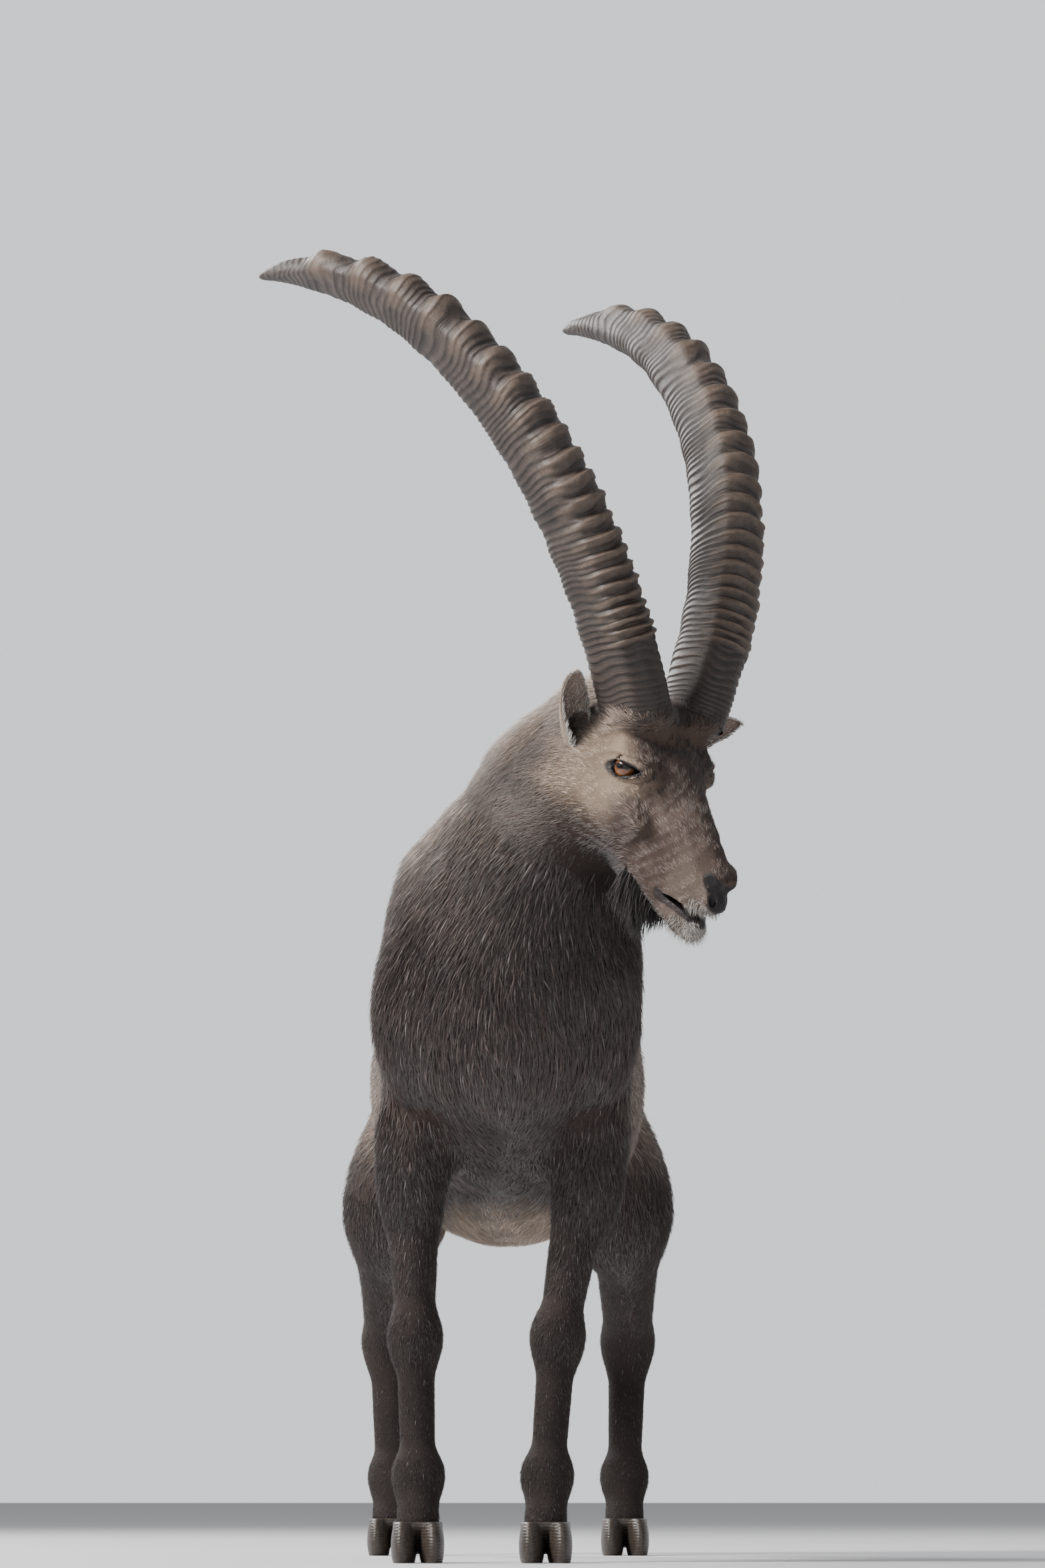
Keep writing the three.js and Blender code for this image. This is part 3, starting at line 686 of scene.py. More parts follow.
def horn_material():
    m, t, sh, where = material("ibex_horn", 0.55)
    fine = noise(t, where, 160.0, 6.0, Roughness=0.65)
    tinted(t, sh, ranged(t, fine, 0.7, 1.25, From_Min=0.3, From_Max=0.7))
    bumped(t, sh, fine, 0.5, 0.0012)
    return m


def eye_material():
    m, t, sh, where = material("ibex_eye", 0.2, Coat_Weight=0.6, Coat_Roughness=0.02)
    tinted(t, sh, ranged(t, noise(t, where, 900.0, 3.0), 0.7, 1.3))
    return m


def hoof_material():
    m, t, sh, where = material("ibex_hoof", 0.45)
    ramp = node(t, "ShaderNodeValToRGB", [("Fac", noise(t, where, 220.0, 5.0))])
    ramp.color_ramp.elements[0].color = (*srgb(26, 23, 22), 1)
    ramp.color_ramp.elements[1].color = (*srgb(78, 68, 60), 1)
    t.links.new(ramp.outputs["Color"], sh.inputs["Base Color"])
    growth = dict(bands_direction="Z", Scale=90.0, Distortion=3.0)
    bands = node(t, "ShaderNodeTexWave", [("Vector", where)], **growth)
    bumped(t, sh, bands.outputs["Fac"], 0.35, 0.0008)
    return m


SKIN_LOOK, COAT_LOOK, HORN_LOOK = skin_material(), coat_material(), horn_material()
EYE_LOOK, HOOF_LOOK = eye_material(), hoof_material()


# Skin. Two meshes meet at a slanting seam behind the jaw, the coarse one of the body a little below
SEAM = v(43, -406, 838)
SEAM_WAY = unit(v(34, -36, 67))
SEAM_LAP = 22
# The jaw belongs to the head as far as this from its middle line, on either side of the seam
JAW_ROOT, JAW, JAW_ROOM = v(0, -150, -106), v(0, -98, 24), 50


def beyond(p):
    """How far a point lies on the head's side of the seam between the two skins."""
    q = to_head(p) - JAW_ROOT
    t = np.clip(q @ JAW / (JAW @ JAW), 0, 1)
    off_jaw = norm(q - t[:, None] * JAW, axis=1)
    return np.maximum((p - SEAM) @ SEAM_WAY, JAW_ROOM - off_jaw)


def unwrap(o):
    """Charts of the object's own surface, as the UV map OFBake."""
    bpy.context.view_layer.objects.active = o
    for other in bpy.context.selected_objects:
        other.select_set(False)
    o.select_set(True)
    o.data.uv_layers.new(name="OFBake")
    bpy.ops.object.mode_set(mode="EDIT")
    bpy.ops.mesh.select_all(action="SELECT")
    bpy.ops.uv.smart_project(angle_limit=math.radians(66), island_margin=0.002)
    bpy.ops.object.mode_set(mode="OBJECT")


def body_surface(step):
    """The body's skin with its colours, as far as the seam."""
    verts, faces = surface(inner_field, v(-230, -560, 20), v(230, 640, 960), step)
    verts, faces = compact(verts, faces[beyond(verts)[faces].max(1) < SEAM_LAP])
    _, out = slope(inner_field, verts)
    verts -= out * np.clip(beyond(verts) / SEAM_LAP, 0, 1)[:, None] * 1.5
    return verts, faces, marking(verts) * 0.75


def head_surface(step):
    """The head's skin with its colours, and where it is bare."""

    def field(q):
        return inner_field(from_head(q).astype(np.float32))

    q, faces = surface(field, v(-130, -290, -230), v(130, 150, 60), step)
    q, faces = compact(q, faces[beyond(from_head(q))[faces].min(1) > 0])
    f, w = -q[:, 1], q[:, 2]
    bareness = bare(q)
    verts = from_head(q)
    dark_skin = mix(NOSE, LIPS, under(w, -60, -52) * step01(f, 185, 200))
    colour = mix(marking(verts) * 0.8, dark_skin, bareness)
    in_mouth = within(w - mouth_line(f), 2.6, 4.2) * step01(f, 200, 206)
    colour = mix(colour, GUMS, in_mouth * within(q[:, 0], 14, 22))
    return verts, faces, colour, bareness


body_step, head_step = ((6.0, 1.7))
body_verts, body_faces, colour = body_surface(body_step)
bareness = np.zeros(len(body_verts))
body_skin = mesh_object("skin_body", body_verts, body_faces, SKIN_LOOK, colour, bareness=bareness)
unwrap(body_skin)
head_verts, head_faces, colour, bareness = head_surface(head_step)
head_skin = mesh_object("skin_head", head_verts, head_faces, SKIN_LOOK, colour, bareness=bareness)
unwrap(head_skin)
flesh = ["torso", "neck", "tail"]
flesh += [f"{f}leg_{s}_{k}" for f in ("fore", "hind") for s in SIDES for k in ("upper", "lower")]
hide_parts(*flesh)
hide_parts("head")
BODY, HEAD_SKIN = (body_skin, body_verts, body_faces), (head_skin, head_verts, head_faces)


# Coat
DOWN = v(0, 0.12, -1)
SUNK = 1.2  # how deep a lock's root lies
BEND = 0.495  # how fast a lock that has risen lies over again
PATCH = 0.0015  # half the width of a lock's own patch in the unwrap
MOST_FACES = 195000  # in one mesh of locks

density = 1.0
grow = 1 / math.sqrt(density)


def flat(way, normal, share=1.0):
    """A way without that share of it that stands off the surface."""
    return unit(way - normal * (way * normal).sum(1, keepdims=True) * share)


def lie(p, normal):
    """Which way the coat lies at points of the ground frame, along the surface."""
    x, y, z = p.T
    q = to_head(p)
    f, w, u = -q[:, 1], q[:, 2], q[:, 0]
    d = mix(v(0, 0.88, -0.48), DOWN, under(z, 400, 600))
    d = mix(d, v(0, 0.5, -0.85), step01(y, 230, 400) * step01(z, 400, 560))
    d = mix(d, DOWN, under(y, -360, -180))
    d = mix(d, unit(v(-0.50, 0.30, -0.80)), under(y, -380, -250) * step01(z, 640, 820))
    # On the head it runs back from the nose, and down on the cheeks and the chin
    one = np.ones(len(p))
    parting = 0.10 * np.sign(u) * step01(np.abs(u), 5, 30)
    top = np.c_[parting, 0.95 * one, -0.30 * under(w, -60, -20)]
    side = np.c_[0.05 * np.sign(u), 0.72 * one, -0.70 * one]
    face = mix(top, side, under(w, -95, -45) * under(f, 110, 190))
    face = mix(face, v(0, 0.55, -0.8), under(w, -104, -84))
    in_head = step01(f + 0.35 * (w + 60), -60, 60) * near_face(p, 150, 250)
    d = mix(unit(d), unit(face) @ HEAD.T, in_head * step01(beyond(p), -5, 45))
    waves = np.stack([ripple(p, 90, seed) - 0.5 for seed in (11, 12, 13)], 1)
    return flat(d + 0.44 * waves, normal)


def corner_uv(o):
    """The unwrap of an object of quads, corner by corner."""
    uv = np.zeros(len(o.data.loops) * 2, np.float32)
    o.data.uv_layers["OFBake"].data.foreach_get("uv", uv)
    return uv.reshape(-1, 4, 2)


def scatter(skin, weight, count, spacing):
    """Evenly spread roots on a skin: places, their uv on its unwrap and the surface's normals."""
    o, verts, faces = skin
    uv = corner_uv(o)
    tri = np.concatenate([faces[:, [0, 1, 2]], faces[:, [0, 2, 3]]])
    tri_uv = np.concatenate([uv[:, [0, 1, 2]], uv[:, [0, 2, 3]]])
    a, b, c = (verts[tri[:, i]] for i in range(3))
    area = norm(np.cross(b - a, c - a), axis=1) * weight((a + b + c) / 3)
    # More than are asked for, of which each cell of a grid keeps one
    pick = np.searchsorted(np.cumsum(area), rng.random(int(count * 2.2)) * area.sum())
    pick = np.clip(pick, 0, len(tri) - 1)
    r1, r2 = np.sqrt(rng.random(len(pick))), rng.random(len(pick))
    share = np.c_[1 - r1, r1 * (1 - r2), r1 * r2]
    p = sum(share[:, i, None] * verts[tri[pick, i]] for i in range(3))
    at = sum(share[:, i, None] * tri_uv[pick, i] for i in range(3))
    size = (spacing / np.sqrt(np.maximum(weight(p), 1e-3)))[:, None]
    _, first = np.unique(np.floor(p / size).astype(int), axis=0, return_index=True)
    first = np.sort(first)
    if len(first) > count:
        first = rng.choice(first, count, replace=False)
    _, normal = slope(inner_field, p[first])
    return p[first], at[first], normal


def lock_faces(rows):
    """The triangles of a lock of three-cornered rings and a tip, open at its root below the skin."""
    tris = []
    for low in range(0, 3 * (rows - 1), 3):
        for i, j in ((0, 2), (2, 1), (1, 0)):
            tris += [(low + i, low + 3 + j, low + j), (low + i, low + 3 + i, low + 3 + j)]
    low, tip = 3 * (rows - 1), 3 * rows
    return np.array(tris + [(low, tip, low + 2), (low + 2, tip, low + 1), (low + 1, tip, low)])


def tufts(name, roots, uv, normal, way, length, width, lift, tint, rows=2):
    """Three-sided tapered locks, sunk at the root, that rise and then lie over; as joined meshes."""
    n = len(roots)
    side = unit(np.cross(way, normal))
    length, width, lift = (np.broadcast_to(a, n).astype(float)[:, None] for a in (length, width, lift))
    points, cols, uvs = [], [], []
    here, last = roots - normal * SUNK, 0.0
    for t in np.arange(rows + 1) / rows:
        if t > 0:
            angle = lift * (1 - BEND * (last + t))
            here = here + (way * np.cos(angle) + normal * np.sin(angle)) * length * (t - last)
            last = t
        size = width * (1 - t) ** 0.75
        half = side * size * 0.5
        ring = [(here - half, -1), (here + half, 1), (here + normal * size * 0.3, 0)]
        for point, across in ring if t < 1 else [(here, 0)]:
            points.append(point)
            cols.append(tint * (0.55 + 0.62 * t))
            uvs.append(uv + PATCH * np.array([across * 0.9, 2 * t - 1]))
    per = len(points)
    points, cols, uvs = (np.stack(a, 1) for a in (points, cols, uvs))
    tris = lock_faces(rows)
    parts = max(1, math.ceil(n / (MOST_FACES // len(tris))))
    for part in range(parts):
        s = slice(part * n // parts, (part + 1) * n // parts)
        faces = (tris[None] + per * np.arange(s.stop - s.start)[:, None, None]).reshape(-1, 3)
        arrays = (a[s].reshape(-1, a.shape[-1]) for a in (cols, uvs))
        title = f"{name}_{part + 1}" if parts > 1 else name
        piece = mesh_object(title, points[s].reshape(-1, 3), faces, COAT_LOOK, *arrays)


def vary(way, normal, amount):
    turn = rng.normal(0, amount, len(way))[:, None]
    return unit(way * np.cos(turn) + np.cross(normal, way) * np.sin(turn))


def pepper(tint, amount, light):
    """Hair by hair: a spread of dark and light round the marking."""
    n = len(tint)
    k = np.exp(rng.normal(0, amount, n))[:, None]
    pale = (rng.random(n) < light)[:, None]
    return np.clip(np.where(pale, tint * 1.3 + 0.10, tint * k), 0, 1)


def plain(colour, n):
    return np.tile(colour, (n, 1))


def about(n, low=0.7, high=1.3):
    """A factor for each of n hairs."""
    return rng.uniform(low, high, n)


def on_belly(p):
    """1 on the belly, 0 on the legs beside it."""
    x, y, _ = p.T
    return step01(y, -230, -180) * under(y, 280, 330) * within(x, 110, 140)


def body_length(p):
    """How long the coat is on the trunk, neck and legs."""
    _, y, z = p.T
    chest = under(y, -330, -230) * step01(z, 480, 640)
    return 9 + 13 * step01(z, 210, 620) + 5 * chest + 3 * under(z, 420, 480) * on_belly(p)


def over_body(p):
    """The body's share of roots: none on the head or the hooves, more on the legs and the front."""
    _, y, z = p.T
    share = (beyond(p) < 6) * step01(z, 34, 44) * (1 + 1.2 * under(z, 330, 480))
    return share * (1 + 0.8 * under(y, -330, -230))


def body_coat(name, count, spacing, thick, rise, rows, contrast):
    p, at, normal = scatter(BODY, over_body, int(count * density), spacing * grow)
    way = vary(lie(p, normal), normal, 0.15)
    length = body_length(p) * about(len(p))
    width = thick * (0.45 + 0.55 * step01(p[:, 2], 200, 560)) * about(len(p)) * grow
    lift = np.radians(rise) * about(len(p), 0.6, 1.5)
    tint = pepper(marking(p), contrast, 0.07)
    tufts(name, p, at, normal, way, length, width, lift, tint, rows)


def furred(p):
    """1 on the head's fur, 0 on its bare skin and beyond the seam."""
    return (1 - bare(to_head(p))) * (beyond(p) > -2)


def over_head(p):
    return furred(p) * (1 - 0.4 * step01(to_head(p)[:, 1], 0, 60))


def over_chin(p):
    _, y, w = to_head(p).T
    return furred(p) * step01(-y, 222, 240) * under(w, -50, -40)


def over_beard(p):
    _, y, w = to_head(p).T
    return under(w, -112, -104) * step01(-y, 150, 160) * under(-y, 196, 206)


def head_coat():
    p, at, normal = scatter(HEAD_SKIN, over_head, int(125000 * density), 1.35 * grow)
    way = vary(lie(p, normal), normal, 0.2)
    q = to_head(p)
    f, w = -q[:, 1], q[:, 2]
    from_eye = np.min([norm(q - eye_axes(s)[0], axis=1) for s in BOTH], axis=0)
    crown = step01(w, -24, 0) * within(f - 12, 10, 40)
    length = 10 + 7 * under(f, -20, 60) + 9 * under(f, -70, 10) + 3 * under(w, -130, -90)
    length = length - 3 * step01(f, 140, 220) + 3 * crown
    length = length * (0.2 + 0.8 * step01(from_eye, 20, 38)) * about(len(p))
    width = (1.3 + 0.8 * under(f, -70, 0)) * about(len(p)) * grow
    lift = np.radians(17 + 8 * crown) * about(len(p), 0.6, 1.5)
    tint = pepper(marking(p), 0.42, 0.08)
    tufts("coat_head", p, at, normal, way, length, width, lift, tint, rows=1)


def chin_coat():
    """Whiskers and pale hair of the lips and chin, which stand forward and down."""
    p, at, normal = scatter(HEAD_SKIN, over_chin, 1200, 1.6)
    way = unit(lie(p, normal) * -0.4 + normal + v(0, -0.7, -0.9) @ HEAD.T * 0.7)
    way = vary(way, normal, 0.3)
    length = 9 * about(len(p), 0.4, 1.3)
    tint = pepper(plain(WHITE * 0.8, len(p)), 0.25, 0.1)
    tufts("coat_chin", p, at, normal, way, length, 0.8, 0.1, tint)


def beard():
    p, at, normal = scatter(HEAD_SKIN, over_beard, 700, 2.2)
    way = unit(v(0, -0.55, -0.85) @ HEAD.T + 0.5 * v(0, 0.1, -1)) + 0 * p
    length = (20 + 22 * under(-to_head(p)[:, 1], 175, 206)) * about(len(p), 0.5, 1.25)
    way = vary(flat(way, normal, 0.6), normal, 0.18)
    lift = np.radians(38) * about(len(p), 0.7, 1.2)
    tint = pepper(plain(BEARD, len(p)), 0.2, 0.02)
    tufts("coat_beard", p, at, normal, way, length, 2.6, lift, tint, rows=3)


def lashes(side_name, s):
    """A row of lashes along the upper lid, on a ball a little wider than the eye."""
    n, ball = 60, 18.4
    _, back, up, out = eye_axes(s)
    a = np.linspace(-16, 19, n)
    b = LID_TOP * lid_arch(a) + 0.3
    o = np.sqrt(np.maximum(ball**2 - a * a - b * b, 9))
    a, b, o = a[:, None], b[:, None], o[:, None]
    roots = from_head(EYE * v(s, 1, 1) + a * back + b * up + o * out)
    normal = unit((a * back + b * up * 0.2 + o * out) @ HEAD.T)
    way = unit((out * 0.6 - up * 0.55 + back * 0.25 * np.sign(a)) @ HEAD.T)
    length = 6.5 * about(n, 0.7, 1.2)
    at = np.full((n, 2), 0.5)
    tufts(f"lashes_{side_name}", roots, at, normal, way, length, 0.7, 0.1, plain(LASH, n))


body_coat("coat_under", 165000, 2.7, 2.3, 15, 1, 0.30)
body_coat("coat_over", 42000, 5.2, 2.4, 19, 2, 0.34)
head_coat()
chin_coat()
beard()
for side_name, s in SIDES.items():
    lashes(side_name, s)


# Horns. t runs from 0 at the skull to 1 at the tip, and a round the horn from its front edge
HORN_LENGTH, HORN_DEPTH, HORN_WIDTH, HORN_RIDGES = 752, 41, 32, 22
HORN_ROOT = v(48.9, 0, -6)
HORN_SUNK = -0.022
HORN_CORNERS = 2.6  # 2 would make the section an ellipse
# The ridges in shares of the length, from the newest up to the tip, each gap smaller than the last
RIDGE_FIRST, RIDGE_GAP, RIDGE_SHRINK = 0.875, 0.078, 0.915
# The last of these colours is the painted highlight on the front ridges
HORN_YOUNG, HORN_OLD, HORN_HIGHLIGHT = srgb(60, 49, 43), srgb(76, 69, 67), srgb(132, 112, 96)


def horn_way(t):
    """The way the left horn grows, with the face level."""
    t = np.maximum(t, 0)
    back = math.radians(-5.3) + 1.34 * t - 0.255 * t * t + 0.667 * t**3
    out = math.radians(22.9) - 0.25 * t
    return np.stack([np.sin(out), np.cos(out) * np.sin(back), np.cos(out) * np.cos(back)], -1)


def horn_ridges(t, a):
    """How far the front ridges stand out, and where they get a painted highlight."""
    face = np.clip((np.cos(a) - 0.05) / 0.55, 0, 1) ** 0.8
    bow = t + 0.006 * (1 - np.cos(a)) + 0.0015 * np.sin(3 * a + 9 * t)
    knob, ridge_highlight = np.zeros_like(t), np.zeros_like(t)
    for k in range(HORN_RIDGES):
        gap = RIDGE_GAP * RIDGE_SHRINK**k
        d = bow - (RIDGE_FIRST - RIDGE_GAP * (1 - RIDGE_SHRINK**k) / (1 - RIDGE_SHRINK))
        bump = bell(d, np.where(d > 0, gap * 0.20, gap * 0.36)) * face
        height = (10.5 - 5.5 * k / HORN_RIDGES) * (0.85 + 0.3 * rng.random())
        knob += height * (0.8 + 0.2 * np.cos(2 * a)) * bump
        ridge_highlight += bump
        knob -= 0.9 * bell(d - gap * 0.42, gap * 0.12) * (0.4 + 0.6 * face)
    return knob, ridge_highlight


def horn_rings(t, a):
    """The fine rings: how far they stand out at the sides, and how much painted shade their grooves get.
    """
    along = t * HORN_LENGTH
    wave = 2.2 * np.sin(2 * a + 9 * t) + 1.5 * np.sin(3 * a - 14 * t + 1)
    wave += 1.2 * np.sin(5 * a + 4 + 20 * t) + 5.0 * np.sin(along / 31 + 1) + 3.0 * np.sin(along / 13.7)
    step = np.interp(t, [0, 0.3, 0.8, 1], [7.2, 8.5, 10.5, 9.0])
    phase = np.cumsum(np.diff(along, axis=0, prepend=along[:1]) / step, 0) + wave / 7.5
    saw = phase - np.floor(phase)
    terrace = (1 - saw) ** 1.3 * np.clip(saw / 0.14, 0, 1)
    fine = np.sin(along * 2.4 + wave * 1.5 + 2 * np.sin(along / 7)) * 0.5
    strong = np.interp(t, [0, 0.05, 0.6, 0.9, 1], [1.0, 1.7, 1.3, 0.6, 0.1])
    relief = (terrace * 1.25 - 0.5 + 0.16 * fine) * strong
    groove = np.clip(-(terrace * 1.1 - 0.55 + 0.25 * fine) * 1.4, 0, 1)
    swell = sum(np.sin(t * rng.uniform(40, 110) + rng.uniform(0, 6) + np.sin(a)) for _ in range(4))
    relief += 0.35 * swell * np.clip((1 - t) * 6, 0, 1)
    # The edges between the front and the flanks
    turn = np.abs(np.angle(np.exp(1j * a)))
    relief += 1.6 * bell(turn - 0.95, 0.16) * np.clip((1 - t) * 5, 0, 1)
    return relief, groove


def horn(name, s):
    rows, around = ((860, 54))
    t = np.linspace(HORN_SUNK, 1, rows + 1)
    way = horn_way(t)
    steps = np.r_[[way[0] * t[0]], (way[1:] + way[:-1]) / 2 * np.diff(t)[:, None]]
    path = HORN_ROOT + np.cumsum(steps, 0) * HORN_LENGTH
    front = unit(v(0, -1, 0) + way * way[:, 1:2])
    across = np.cross(front, way)
    a = np.linspace(0, 2 * np.pi, around, endpoint=False)
    corners = np.abs(np.cos(a)) ** HORN_CORNERS + np.abs(np.sin(a)) ** HORN_CORNERS
    size = np.sqrt(np.maximum(0, 1 - np.clip(t, 0, 1) ** 2.4))
    base = size[:, None] * corners[None, :] ** (-1 / HORN_CORNERS)
    t, a = np.meshgrid(t, a, indexing="ij")
    knob, ridge_highlight = horn_ridges(t, a)
    relief, groove = horn_rings(t, a)
    deep = np.cos(a) * (HORN_DEPTH * base + knob + relief)
    wide = np.sin(a) * (HORN_WIDTH * base + 0.3 * knob + relief)
    pts = path[:, None] + front[:, None] * deep[..., None] + across[:, None] * wide[..., None]
    pts = pts.reshape(-1, 3) * v(s, 1, 1)
    quad = tube_quads(rows + 1, around)
    if s > 0:
        quad = quad[:, ::-1]
    c = mix(HORN_YOUNG, HORN_OLD, np.clip(t, 0, 1).ravel())
    # Random tone, with painted shade in the grooves of the rings
    c = c * ((0.65 + 0.6 * ripple(pts, 60, 21)) * (1 - 0.8 * groove.ravel()))[:, None]
    # Painted highlight on the front ridges
    c = mix(c, HORN_HIGHLIGHT, 0.4 * np.clip(ridge_highlight, 0, 1).ravel())
    # Painted shade on the back of the horn
    c = c * (1 - 0.25 * np.clip(-np.cos(a), 0, 1).ravel())[:, None]
    o = mesh_object(name, from_level(pts), quad, HORN_LOOK, colour=np.clip(c, 0, 1))
    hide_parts(name.replace("_fine", ""))


for side_name, s in SIDES.items():
    horn(f"horn_{side_name}_fine", s)


# Eyes
IRIS, IRIS_PALE, IRIS_RIM = srgb(104, 58, 28), srgb(150, 94, 46), srgb(58, 30, 18)
EYE_WHITE, PUPIL = srgb(30, 22, 20), srgb(8, 8, 11)


def eye_colour(a, b):
    """The eye's colour a along it and b above its middle: a streaked iris and a lying pupil."""
    r, angle = np.hypot(a, b), np.arctan2(b, a)
    streak = 0.5 + 0.5 * np.sin(angle * 37 + 3 * np.sin(angle * 11)) * np.sin(angle * 23)
    iris = mix(IRIS, IRIS_PALE, 0.65 * streak * step01(r, 4, 9))
    iris = mix(iris, IRIS_RIM, step01(r, 10.6, 12.4))
    # Painted shade of the upper lid on the top of the iris
    iris = iris * (1 - 0.45 * step01(b, -1, 5))[:, None]
    ball = mix(iris, EYE_WHITE, step01(r, 12.4, 13.2))
    pupil = np.hypot(np.maximum(np.abs(a - 0.5) - 5.2, 0), b - 1.6)
    return mix(ball, PUPIL, under(pupil, 2.3, 3.0))


def eye(name, s):
    """A ball with its pole to the front, where the cornea bulges."""
    middle, back, up, out = eye_axes(s)
    rows, around, pole = 96, 112, 0.004
    polar = np.linspace(pole, np.pi - pole, rows)
    turn = np.linspace(0, 2 * np.pi, around, endpoint=False)
    polar, turn = (g.reshape(-1, 1) for g in np.meshgrid(polar, turn, indexing="ij"))
    a, b = EYE_RADIUS * np.sin(polar) * np.cos(turn), EYE_RADIUS * np.sin(polar) * np.sin(turn)
    ball = a * back + b * up + EYE_RADIUS * np.cos(polar) * out
    pts = middle + (1 + 0.035 * bell(polar, 0.7)) * ball
    quad = tube_quads(rows, around)[:, [0, 3, 2, 1]]
    if np.cross(back, up) @ out < 0:
        quad = quad[:, ::-1]
    o = mesh_object(name, from_head(pts), quad, EYE_LOOK, eye_colour(a[:, 0], b[:, 0]))
    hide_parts(name.replace("_fine", ""))


for side_name, s in SIDES.items():
    eye(f"eye_{side_name}_fine", s)


# Ears. Each is a leaf rolled round its middle line: its tip and the way its hollow opens, head level
EARS = {
    "left": (v(97, -38, 40), v(-0.15, -0.9, -0.3)),
    "right": (v(-43, -38, 73), v(-0.35, -0.9, -0.1)),
}
EAR_ROWS, EAR_COLUMNS, EAR_THICK = 60, 25, 2.4
EAR_SKIN, EAR_HOLLOW = srgb(168, 152, 138), srgb(136, 118, 108)
EAR_FUR, EAR_TUFT, EAR_SHADE = srgb(160, 143, 127), srgb(232, 226, 218), srgb(96, 84, 78)


def ear_hair(name, o, verts, quad, hollow, along, front, reach, root):
    """Hair to the tip of the ear, longer and paler in its hollow."""
    n = int(14000 * max(density, 0.5))
    corners = [verts[quad[:, i]] for i in range(4)]
    cross = np.cross(corners[1] - corners[0], corners[3] - corners[0])
    area = norm(cross, axis=1)
    pick = np.searchsorted(np.cumsum(area), rng.random(n) * area.sum())
    pick = np.clip(pick, 0, len(quad) - 1)
    r1, r2 = rng.random((2, n, 1))
    shares = ((1 - r1) * (1 - r2), r1 * (1 - r2), r1 * r2, (1 - r1) * r2)
    pts = sum(corner[pick] * share for corner, share in zip(corners, shares))
    normal = unit(cross[pick])
    hollow = hollow[quad[pick, 0]]
    way = flat(unit(along + front * (0.25 * hollow)[:, None]), normal)
    up_ear = np.clip(((pts - root) @ along) / reach, 0, 1)
    length = np.where(hollow > 0.5, 11, 7) * about(n) * (1 - 0.4 * up_ear)
    tint = mix(EAR_FUR, EAR_TUFT, hollow)
    shaded = (hollow > 0.5) & (rng.random(n) < 0.3)
    tint = np.where(shaded[:, None], EAR_SHADE, tint)
    way = vary(way, normal, 0.2)
    lift = np.radians(18) * about(n, 0.5, 1.5)
    at = corner_uv(o)[pick].mean(1)
    tint = pepper(tint, 0.18, 0.05)
    tufts(f"coat_ear_{name}", pts, at, normal, way, length, 1.3, lift, tint, rows=1)


def ear(name, s):
    root = (from_head(v(s * 60, -12, -92)) - POLL) @ LEVEL
    tip, opening = EARS[name]
    reach = norm(tip)
    along = unit(tip)
    front = unit(opening - along * (opening @ along))
    across = np.cross(front, along)
    t = np.linspace(-0.12, 1, EAR_ROWS + 1)
    leaf = np.sin(np.pi * np.minimum(1, 0.2 + 0.8 * np.maximum(0, t) ** 1.4))
    width = 18 * np.maximum(leaf, 0) ** 0.45 + 0.3
    centre = root + along * (t * reach * 1.08)[:, None] - front * (14 * t * (1 - t))[:, None]
    half = np.linspace(-1, 1, EAR_COLUMNS)
    roll = np.interp(t, [-0.12, 0.15, 0.6, 1], [2.7, 2.2, 1.45, 0.9])
    deep = np.interp(t, [-0.12, 0.2, 0.7, 1], [1.0, 0.95, 0.6, 0.35])

    def shell(lift):
        angle = roll[:, None] * half[None, :]
        edge = np.maximum(np.sin(np.minimum(roll, np.pi / 2)), 0.2)
        wide = (width[:, None] - lift) * np.sin(angle) / edge[:, None]
        back = lift - (width * deep)[:, None] * np.cos(angle)
        return centre[:, None] + across * wide[..., None] + front * back[..., None]

    ring = np.concatenate([shell(0.0), shell(EAR_THICK)[:, ::-1]], 1)
    k = ring.shape[1]
    verts = from_level(ring.reshape(-1, 3))
    quad = tube_quads(EAR_ROWS + 1, k)
    outer = (np.arange(len(quad)) % k) < EAR_COLUMNS - 1
    corner, beside, above = (verts[quad[outer, i]] for i in (0, 1, 3))
    middle = from_level(np.repeat(centre, k, 0))[quad[outer, 0]]
    if (np.cross(beside - corner, above - corner) * (corner - middle)).sum() < 0:
        quad = quad[:, ::-1]
    hollow = np.tile(np.repeat([0.0, 1.0], EAR_COLUMNS), EAR_ROWS + 1)
    colour = mix(EAR_SKIN, EAR_HOLLOW, hollow) * 0.8
    o = mesh_object(f"ear_{name}_skin", verts, quad, SKIN_LOOK, colour, bareness=hollow * 0.2)
    unwrap(o)
    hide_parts(f"ear_{name}")
    ways = (along @ LEVEL.T, front @ LEVEL.T)
    ear_hair(name, o, verts, quad, hollow, *ways, reach, from_level(root))


for side_name, s in SIDES.items():
    ear(side_name, s)


# Hooves. Two claws and the pads behind them, cut flat at the floor and below the fetlock
CLAW_APART, CLAW_TOP = 15.5, 46


def hoof(name, replaced, foot):
    claws = [lump(foot + v(k * CLAW_APART, -12, -20), (14.2, 41, 36), 1, 12, k * 5) for k in (-1, 1)]
    pads = [lump(foot + v(0, 10, -8), (27, 24, 22), 3), lump(foot + v(0, -4, 4), (27, 27, 14), 6)]
    form = melted(claws + pads)

    def field(p):
        return np.maximum(form(p), np.maximum(-p[:, 2], p[:, 2] - CLAW_TOP))

    verts, faces = surface(field, foot + v(-50, -66, -46), foot + v(50, 50, 20), 2.4)
    verts[:, 2] = np.maximum(verts[:, 2], 0)
    o = mesh_object(name, verts, faces, HOOF_LOOK)
    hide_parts(replaced)


for side_name, s in SIDES.items():
    for kind, joints in (("fore", fore_joints), ("hind", hind_joints)):
        leg = f"{kind}leg_{side_name}"
        hoof(f"{leg}_claws", f"{leg}_hoof", joints[s][-1])


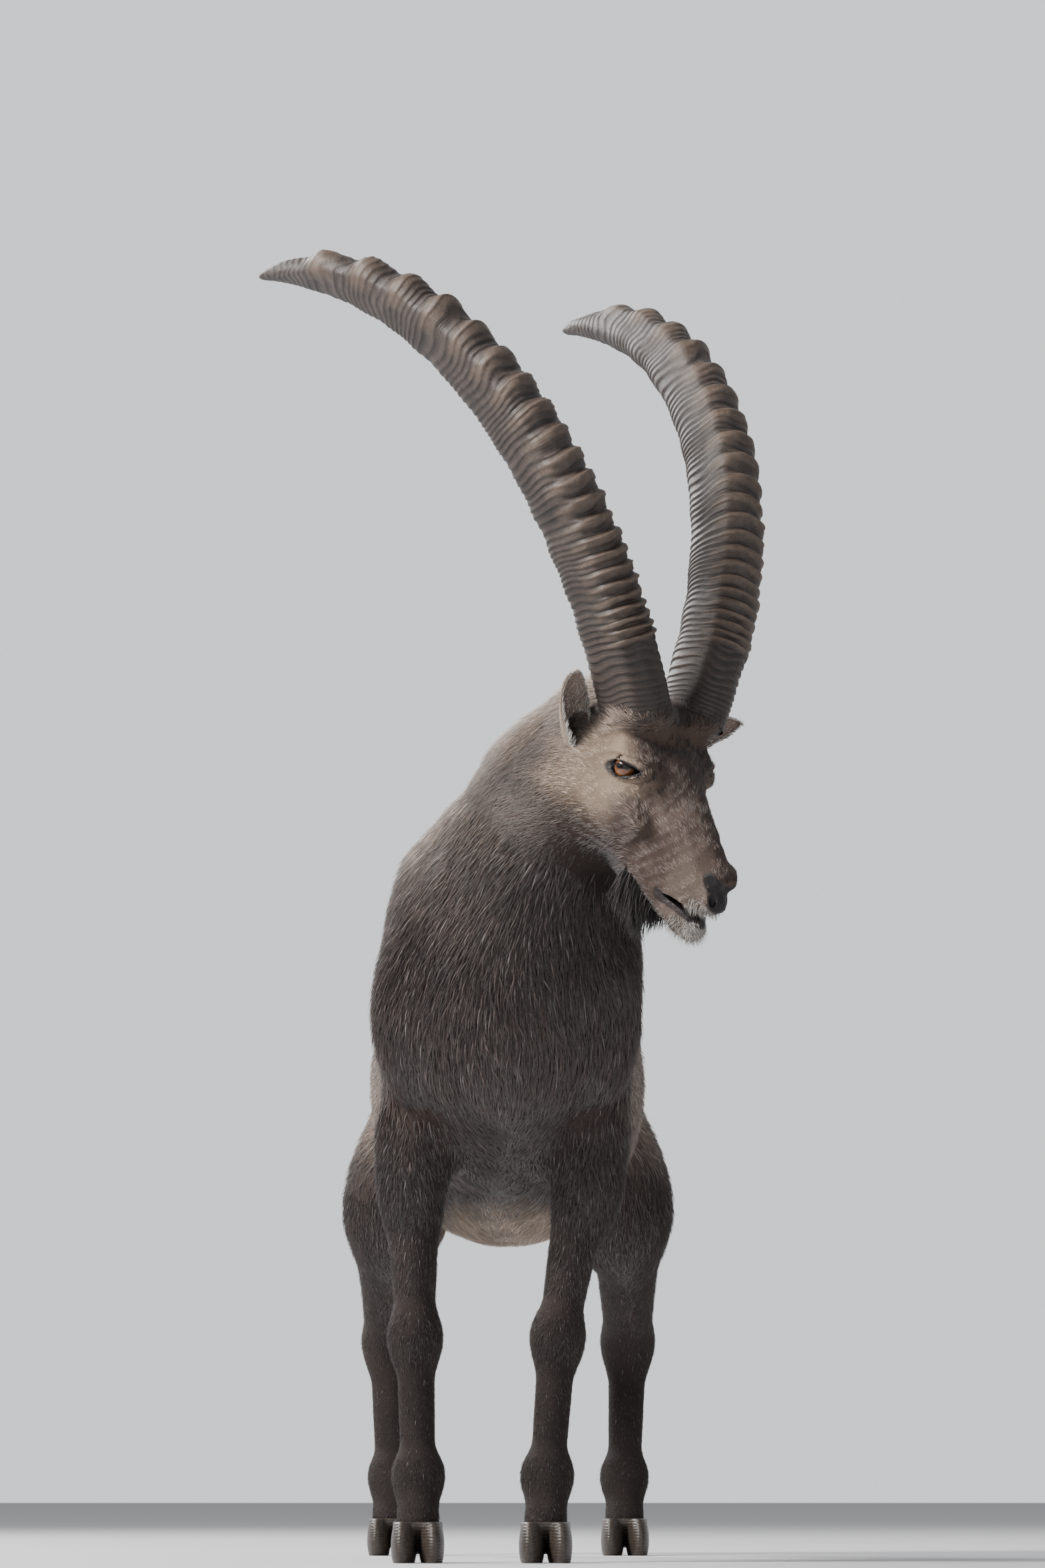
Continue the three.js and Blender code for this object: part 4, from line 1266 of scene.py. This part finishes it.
# Studio
LAMPS = {  # place, size, power and colour
    "key": ((-3.6, -2.0, 3.8), 1.8, 480, (1.0, 0.97, 0.94)),
    "fill": ((3.6, -4.6, 1.6), 4.0, 70, (0.9, 0.95, 1.0)),
    "rim": ((-2.6, 3.2, 3.4), 2.0, 260, (1.0, 1.0, 1.0)),
}
LAMPS_AIM = v(0.05, -0.2, 0.75)


def floor_and_light():
    bpy.ops.mesh.primitive_plane_add(size=60, location=(0, 0, 0))
    floor = bpy.context.object
    floor.name = "floor"
    m, _, shader, _ = material("studio_floor", 0.9)
    shader.inputs["Base Color"].default_value = (0.62, 0.62, 0.63, 1)
    floor.data.materials.append(m)
    # A pale backdrop behind the animal, and a dimmer room on the camera's side
    world = bpy.data.worlds.new("studio")
    bpy.context.scene.world = world
    world.use_nodes = True
    tree = world.node_tree
    back = tree.nodes["Background"]
    back.inputs["Color"].default_value = (0.90, 0.92, 0.95, 1)
    way = node(tree, "ShaderNodeTexCoord")
    parts = node(tree, "ShaderNodeSeparateXYZ", [("Vector", way.outputs["Generated"])])
    behind = ranged(tree, parts.outputs["Y"], 0.28, 1.15, From_Min=0.2, From_Max=0.95)
    tree.links.new(behind, back.inputs["Strength"])
    for name, (place, size, power, colour) in LAMPS.items():
        lamp = bpy.data.lights.new(name, "AREA")
        lamp.shape, lamp.size, lamp.energy, lamp.color = "DISK", size, power, colour
        o = bpy.data.objects.new(name, lamp)
        o.location = place
        o.rotation_mode = "QUATERNION"
        o.rotation_quaternion = Vector(LAMPS_AIM - v(*place)).to_track_quat("-Z", "Y")
        bpy.context.scene.collection.objects.link(o)


# The photograph's height and the camera's focal length, both in its pixels
PHOTO_HEIGHT, FOCAL = 2353, 10050
SENSOR = 36


def camera():
    """Low and far off, looking up a little, as the photograph was taken."""
    data = bpy.data.cameras.new("camera")
    data.sensor_width = SENSOR
    data.lens = FOCAL / PHOTO_HEIGHT * SENSOR
    data.clip_end = 200
    o = bpy.data.objects.new("camera", data)
    o.location = metres(v(18, -7969, 84))
    o.rotation_euler = (math.pi / 2 + math.radians(6), 0, 0)
    bpy.context.scene.collection.objects.link(o)
    bpy.context.scene.camera = o


floor_and_light()
camera()
